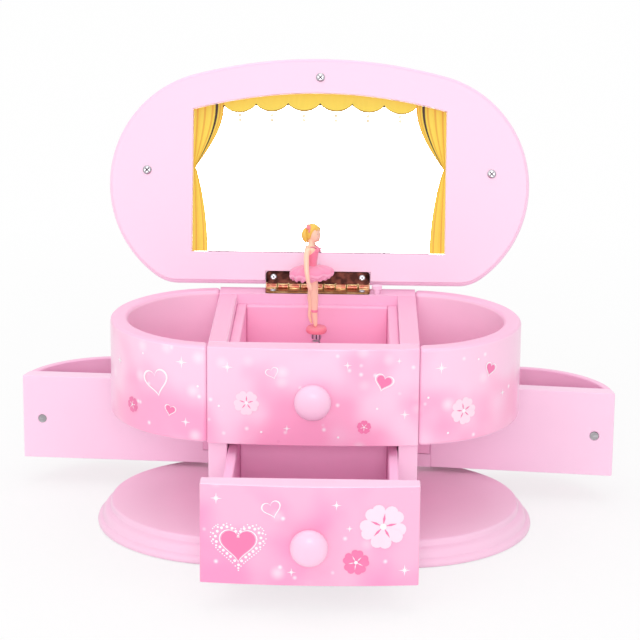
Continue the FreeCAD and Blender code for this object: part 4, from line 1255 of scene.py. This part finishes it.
    def head(self, foot):
        tone = looks()
        skin = slot_material("skin")
        hair = paint("doll_hair", tone.hair, 0.36, 0.2, 0.3)
        skull = [(-0.3, 0, 43.3, 0.5, 0.5), (0.2, 0, 44.0, 1.5, 1.4), (0.0, 0, 45.4, 2.3, 2.2),
                 (-0.3, 0, 47.4, 2.75, 2.7), (-0.5, 0, 49.4, 2.7, 2.7), (-0.7, 0, 51.0, 1.8, 1.9),
                 (-0.8, 0, 51.6, 0.5, 0.5)]
        nose = [(2.2, 0, 46.2, 0.15, 0.2), (2.35, 0, 46.5, 0.35, 0.32), (2.2, 0, 47.2, 0.3, 0.28),
                (2.0, 0, 48.0, 0.12, 0.15)]
        face = [self.limb(foot, "skull", skull, 28), self.limb(foot, "nose", nose, 12)]
        add_joined("dancer_face", face, "dancer", "skin", skin)
        cap = [(-2.3, 0, 44.6, 0.7, 1.4), (-2.0, 0, 45.8, 1.45, 2.4, 0.35), (-1.5, 0, 47.6, 2.1, 2.95, 0.45),
               (-0.9, 0, 49.3, 2.75, 3.05, 0.45), (-0.5, 0, 50.6, 2.75, 2.75, 0.3),
               (-0.5, 0, 51.8, 1.9, 2.0, 0.1), (-0.6, 0, 52.4, 0.5, 0.6)]
        bun = [(-4.0, 0, 42.9, 0.4, 0.5), (-4.1, 0, 43.6, 1.1, 1.5), (-4.3, 0, 45.4, 1.6, 2.3),
               (-4.35, 0, 47.4, 1.65, 2.4), (-4.1, 0, 49.2, 1.3, 1.9), (-3.8, 0, 50.4, 0.4, 0.6)]
        fringe = [(1.5, 0, 48.8, 0.4, 1.4), (1.5, 0, 49.6, 0.95, 2.2), (1.2, 0, 50.8, 1.2, 2.1),
                  (0.7, 0, 51.9, 0.9, 1.5), (0.4, 0, 52.3, 0.2, 0.4)]
        crown = [self.limb(foot, "lock", cap, 28), self.limb(foot, "lock", bun, 28)]
        crown.append(self.limb(foot, "lock", fringe))
        add_joined("dancer_hair", crown, "dancer", "skin", hair)
        band = []
        for step in range(13):
            angle = math.pi * (step / 12)
            band.append((-2.2 + 0.9 * math.sin(angle), 3.05 * math.cos(angle), 48.6 + 3.35 * math.sin(angle)))
        ribbon = [self.cord(foot, "band", band, 0.4)]
        for side in (-1, 1):
            bow = [(-2.6, 1.9 * side, 49.8, 0.3, 0.3), (-2.7, 2.1 * side, 50.3, 0.9, 0.8),
                   (-2.5, 1.9 * side, 51.2, 1.0, 0.9), (-2.2, 1.6 * side, 51.9, 0.3, 0.3)]
            ribbon.append(self.limb(foot, "bow", bow, 16))
        satin = paint("ribbon_satin", srgb(246, 142, 150), 0.3, 0.06)
        add_joined("dancer_ribbon", ribbon, "dancer", "tutu", satin)
        eyes = []
        for side in (-1, 1):
            eye = [(1.85, 1.15 * side, 47.0, 0.1, 0.1), (1.95, 1.15 * side, 47.3, 0.3, 0.42),
                   (1.85, 1.15 * side, 47.7, 0.1, 0.1)]
            eyes.append(self.limb(foot, "eye", eye, 12, 4))
        dark = paint("doll_eyes", srgb(96, 62, 52), 0.3, 0.02)
        add_joined("dancer_eyes", eyes, "dancer", "skin", dark)
        lips = self.limb(foot, "lips", [(1.95, 0, 44.9, 0.08, 0.3), (2.05, 0, 45.15, 0.22, 0.62),
                                        (1.98, 0, 45.4, 0.08, 0.3)], 12, 4)
        add_piece("dancer_lips", lips, "dancer", "tutu", paint("doll_lips", srgb(232, 108, 122), 0.3, 0.02))

    def skirt(self, foot):
        tone = looks()
        radius = sizes().skirt_radius / MM
        waves = sizes().skirt_waves
        rings = 12
        steps = waves * self.wave_steps
        net = paint("skirt_net", tone.net, 0.6, 0.12, 0.3, 0.0, 0.4)
        pale = paint("skirt_hem", tone.net_pale, 0.6, 0.08, 0.3, 0.0, 0.4)
        layers = []
        for layer, (reach, edge_z) in enumerate(((1.0, 25.6), (0.9, 25.0), (0.78, 24.6))):
            rows = []
            for ring in range(rings + 1):
                share = ring / rings
                bend = min(share / self.rim_share, 1.0)
                fall = max(share - self.rim_share, 0.0) / 0.3
                out = self.waist_out + (radius * reach * 0.94 - self.waist_out) * bend
                out += radius * reach * 0.06 * math.sin(math.pi * min(fall * 0.85, 1.0)) - 0.6 * fall ** 2
                drop = (self.waist_z - self.rim_z) * bend ** 2.2 + (self.rim_z - edge_z) * fall
                row = []
                for angle in turns(steps):
                    phase = waves * angle + layer * 1.7 + 0.5 * math.sin(3 * angle + layer)
                    r = out + 0.5 * share ** 1.2 * math.cos(phase)
                    x = r * math.cos(angle)
                    y = r * math.sin(angle) * self.depth
                    z = self.waist_z - 0.3 * layer - drop
                    z = z + 0.5 * math.sin(phase) * share ** 1.3 + 0.09 * x * share
                    row.append(foot + Vector((self.skirt_shift + self.sway(z) + x, y, z)) * MM)
                row.append(row[0])
                rows.append(row)
            layers.append(grid_mesh("skirt_layer", rows))
        joined = join_meshes("dancer_skirt", layers, True)
        work = bmesh.new()
        work.from_mesh(joined)
        bmesh.ops.remove_doubles(work, verts=work.verts, dist=0.0005 * MM)
        work.to_mesh(joined)
        work.free()
        skirt = add_piece("dancer_skirt", joined, "dancer", "tutu", [net, pale], ["dancer_tutu"])
        for polygon in skirt.data.polygons:
            ring = (polygon.index % (rings * steps)) // steps
            polygon.material_index = 1 if ring >= rings - 2 else 0
        thick = skirt.modifiers.new("cloth", "SOLIDIFY")
        thick.thickness = self.cloth
        apply_modifiers(skirt)

    def disc(self):
        """Dancer's disc with a well rounded rim."""
        low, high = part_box("dancer_disc")
        middle = (low + high) / 2
        radius = (high.x - low.x) / 2
        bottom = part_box("stem_ferrule")[1].z - 0.9 * MM
        thick = high.z - bottom
        profile = ((0.72, 0.0), (0.93, 0.12), (1.0, 0.42), (0.985, 0.66), (0.93, 0.88), (0.84, 1.0))
        rows = []
        for out, up in profile:
            rows.append([round_point(middle, radius * out, a, bottom + up * thick) for a in turns(48)])
        coral = paint("disc_coral", looks().disc, 0.35, 0.06, 0.1, 0.2)
        name = "dancer_disc_turned"
        add_piece(name, grid_mesh(name, rows, True), "dancer", "tutu", coral, ["dancer_disc"])


class MUSICBOX_OT_spring(bpy.types.Operator):
    """Coil spring under the dancer, and a fluted sleeve at its top"""
    bl_idname = "music_box.spring"
    bl_label = "Stem spring"

    wire_radius = 0.4 * MM
    coils = 5
    coil_steps = 24
    flutes = 8
    groove = 0.14
    skirt = 1.3 * MM

    def execute(self, context):
        low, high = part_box("stem_spring")
        middle = (low + high) / 2
        thin = self.wire_radius
        radius = (high.x - low.x) / 2 - thin
        count = self.coils * self.coil_steps
        path = []
        for step in range(count + 1):
            share = step / count
            z = low.z + thin + (high.z - low.z - 2 * thin) * share
            path.append(round_point(middle, radius, 2 * math.pi * self.coils * share, z))
        mesh = tube("stem_spring_coil", path, [thin] * len(path), 10)
        obj = bpy.data.objects.new("stem_spring_coil", mesh)
        context.scene.collection.objects.link(obj)
        mesh.materials.append(slot_material("steel"))
        for polygon in mesh.polygons:
            polygon.use_smooth = True
        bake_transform(obj)
        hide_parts("stem_spring")
        self.sleeve()
        return {"FINISHED"}

    def sleeve(self):
        """Fluted steel sleeve that grips the top of the spring, with painted shade in its flutes."""
        low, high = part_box("stem_ferrule")
        middle = (low + high) / 2
        radius = (high.x - low.x) / 2
        foot = low.z - self.skirt
        rows = []
        for z, scale in ((foot, 0.8), (foot, 0.97), (foot + 0.2 * MM, 1.0),
                         (high.z - 1.2 * MM, 1.0), (high.z - 1.0 * MM, 0.95)):
            ring = []
            for angle in turns(self.flutes * 12):
                groove = self.groove * max(math.cos(self.flutes * angle), 0.0) ** 2
                ring.append(round_point(middle, radius * (scale - groove), angle, z))
            rows.append(ring)
        mesh = grid_mesh("stem_sleeve", rows, True)
        bright = metal("sleeve_steel", srgb(206, 198, 206), srgb(240, 236, 240), 0.6, 500)
        # Painted shade: a darker steel for the bottoms of the flutes
        dark = metal("sleeve_groove_shade", srgb(92, 72, 92), srgb(130, 112, 130), 0.6, 500)
        obj = add_piece("stem_sleeve", mesh, "stem", "steel", [bright, dark], ["stem_ferrule"])
        # Faces deep in the flutes take the painted shade
        for polygon in obj.data.polygons:
            centre = polygon.center - middle
            turn = self.flutes * math.atan2(centre.y, centre.x)
            if len(polygon.vertices) == 4 and math.cos(turn) > 0.35:
                polygon.material_index = 1


class MUSICBOX_OT_stage(bpy.types.Operator):
    """Pale floor, soft lamps, white surroundings and the camera"""
    bl_idname = "music_box.stage"
    bl_label = "Stage"

    floor_half = 6.0
    floor_drop = 0.0002
    floor_tone = (0.9, 0.9, 0.9, 1)
    floor_fade = {"From Min": 0.15, "From Max": 0.7, "To Min": 0.72, "To Max": 0.985}
    surround = 0.77
    lamps = (("front", (0.03, -1.5, 0.5), 0.4, 5.9), ("key", (-0.8, -0.8, 1.2), 1.1, 2.2),
             ("top", (0.0, 0.0, 1.6), 1.2, 5.0))
    lamp_target = Vector((0, 0.02, 0.08))
    camera_place = Vector((0.01878, -1.11853, 0.40372))
    yaw = math.radians(-0.856)
    pitch = math.radians(14.766)
    roll = math.radians(0.548)
    focal_px = 2374.98
    frame_px = 640
    centre_row = 314.56

    def execute(self, context):
        scene = context.scene
        scene.view_settings.view_transform = "Standard"
        mesh = bpy.data.meshes.new("floor")
        half = self.floor_half
        corners = [(-half, -half, 0), (half, -half, 0), (half, half, 0), (-half, half, 0)]
        mesh.from_pydata(corners, [], [(0, 1, 2, 3)])
        floor = bpy.data.objects.new("floor", mesh)
        floor.location.z = -self.floor_drop
        scene.collection.objects.link(floor)
        mesh.materials.append(self.floor_material())
        self.world(scene)
        for lamp in self.lamps:
            self.lamp(*lamp)
        self.camera(scene)
        return {"FINISHED"}

    def floor_material(self):
        """Pale floor that goes towards plain white for the camera and in mirrors, more so further out."""
        material, tree, shader = new_material("pale_floor")
        set_inputs(shader, {"Base Color": self.floor_tone, "Roughness": 0.9})
        glow = add_node(tree, "Emission", {"Strength": 1.0})
        place = add_node(tree, "TexCoord")
        away = add_node(tree, "VectorMath", operation="LENGTH")
        fade = add_node(tree, "MapRange", self.floor_fade)
        wire(tree, [(place, "Object", away, 0), (away, "Value", fade, "Value")])
        share = self.blend_seen(tree, shader, glow, tree.nodes["Material Output"])
        wire(tree, [(fade, "Result", share, 1)])
        return material

    def world(self, scene):
        world = bpy.data.worlds.new("studio")
        scene.world = world
        world.use_nodes = True
        tree = world.node_tree
        soft = tree.nodes["Background"]
        set_inputs(soft, {"Color": WHITE, "Strength": self.surround})
        seen = add_node(tree, "Background", {"Color": WHITE, "Strength": 1.0})
        self.blend_seen(tree, soft, seen, tree.nodes["World Output"])

    def blend_seen(self, tree, plain, shown, output):
        """Mix in what the camera and mirrors are shown; the node given back can scale how much."""
        share = add_node(tree, "Math", {1: 1.0}, operation="MULTIPLY")
        rays = add_node(tree, "LightPath")
        either = add_node(tree, "Math", operation="MAXIMUM")
        blend = add_node(tree, "MixShader")
        wire(tree, [
            (rays, "Is Camera Ray", either, 0), (rays, "Is Glossy Ray", either, 1), (either, 0, share, 0),
            (share, 0, blend, 0), (plain, 0, blend, 1), (shown, 0, blend, 2), (blend, 0, output, "Surface")])
        return share

    def lamp(self, name, place, size, power):
        data = bpy.data.lights.new(name, "AREA")
        data.size = size
        data.energy = power
        obj = bpy.data.objects.new(name, data)
        obj.location = place
        aim = self.lamp_target - Vector(place)
        obj.rotation_euler = aim.to_track_quat("-Z", "Y").to_euler()
        bpy.context.scene.collection.objects.link(obj)

    def camera(self, scene):
        level = math.cos(self.pitch)
        ahead = Vector((math.sin(self.yaw) * level, math.cos(self.yaw) * level, -math.sin(self.pitch)))
        right = Vector((math.cos(self.yaw), -math.sin(self.yaw), 0))
        up = right.cross(ahead)
        across = right * math.cos(self.roll) + up * math.sin(self.roll)
        upward = up * math.cos(self.roll) - right * math.sin(self.roll)
        data = bpy.data.cameras.new("camera")
        data.sensor_width = 36
        data.lens = self.focal_px / self.frame_px * data.sensor_width
        data.shift_y = (self.centre_row - self.frame_px / 2) / self.frame_px
        obj = bpy.data.objects.new("camera", data)
        turn = Matrix((across, upward, -ahead)).transposed().to_4x4()
        obj.matrix_world = Matrix.Translation(self.camera_place) @ turn
        scene.collection.objects.link(obj)
        scene.camera = obj


OPERATORS = (MUSICBOX_OT_boards, MUSICBOX_OT_base, MUSICBOX_OT_knobs, MUSICBOX_OT_curtain, MUSICBOX_OT_prints,
             MUSICBOX_OT_dancer, MUSICBOX_OT_spring, MUSICBOX_OT_hinge, MUSICBOX_OT_tray_ends,
             MUSICBOX_OT_screws, MUSICBOX_OT_fittings, MUSICBOX_OT_stage)


class MUSICBOX_PT_panel(bpy.types.Panel):
    """Steps that dress the music box"""
    bl_idname = "MUSICBOX_PT_panel"
    bl_label = "Music Box"
    bl_space_type = "VIEW_3D"
    bl_region_type = "UI"
    bl_category = "Music Box"

    def draw(self, context):
        for operator in OPERATORS:
            self.layout.operator(operator.bl_idname)


CLASSES = (MusicBoxColours, MusicBoxSizes) + OPERATORS + (MUSICBOX_PT_panel,)


def register():
    for entry in CLASSES:
        bpy.utils.register_class(entry)
    bpy.types.Scene.music_box_colours = PointerProperty(type=MusicBoxColours)
    bpy.types.Scene.music_box_sizes = PointerProperty(type=MusicBoxSizes)


def unregister():
    del bpy.types.Scene.music_box_sizes
    del bpy.types.Scene.music_box_colours
    for entry in reversed(CLASSES):
        bpy.utils.unregister_class(entry)


def main():
    register()
    for operator in OPERATORS:
        group, name = operator.bl_idname.split(".")
        getattr(getattr(bpy.ops, group), name)()


if __name__ == "__main__":
    main()
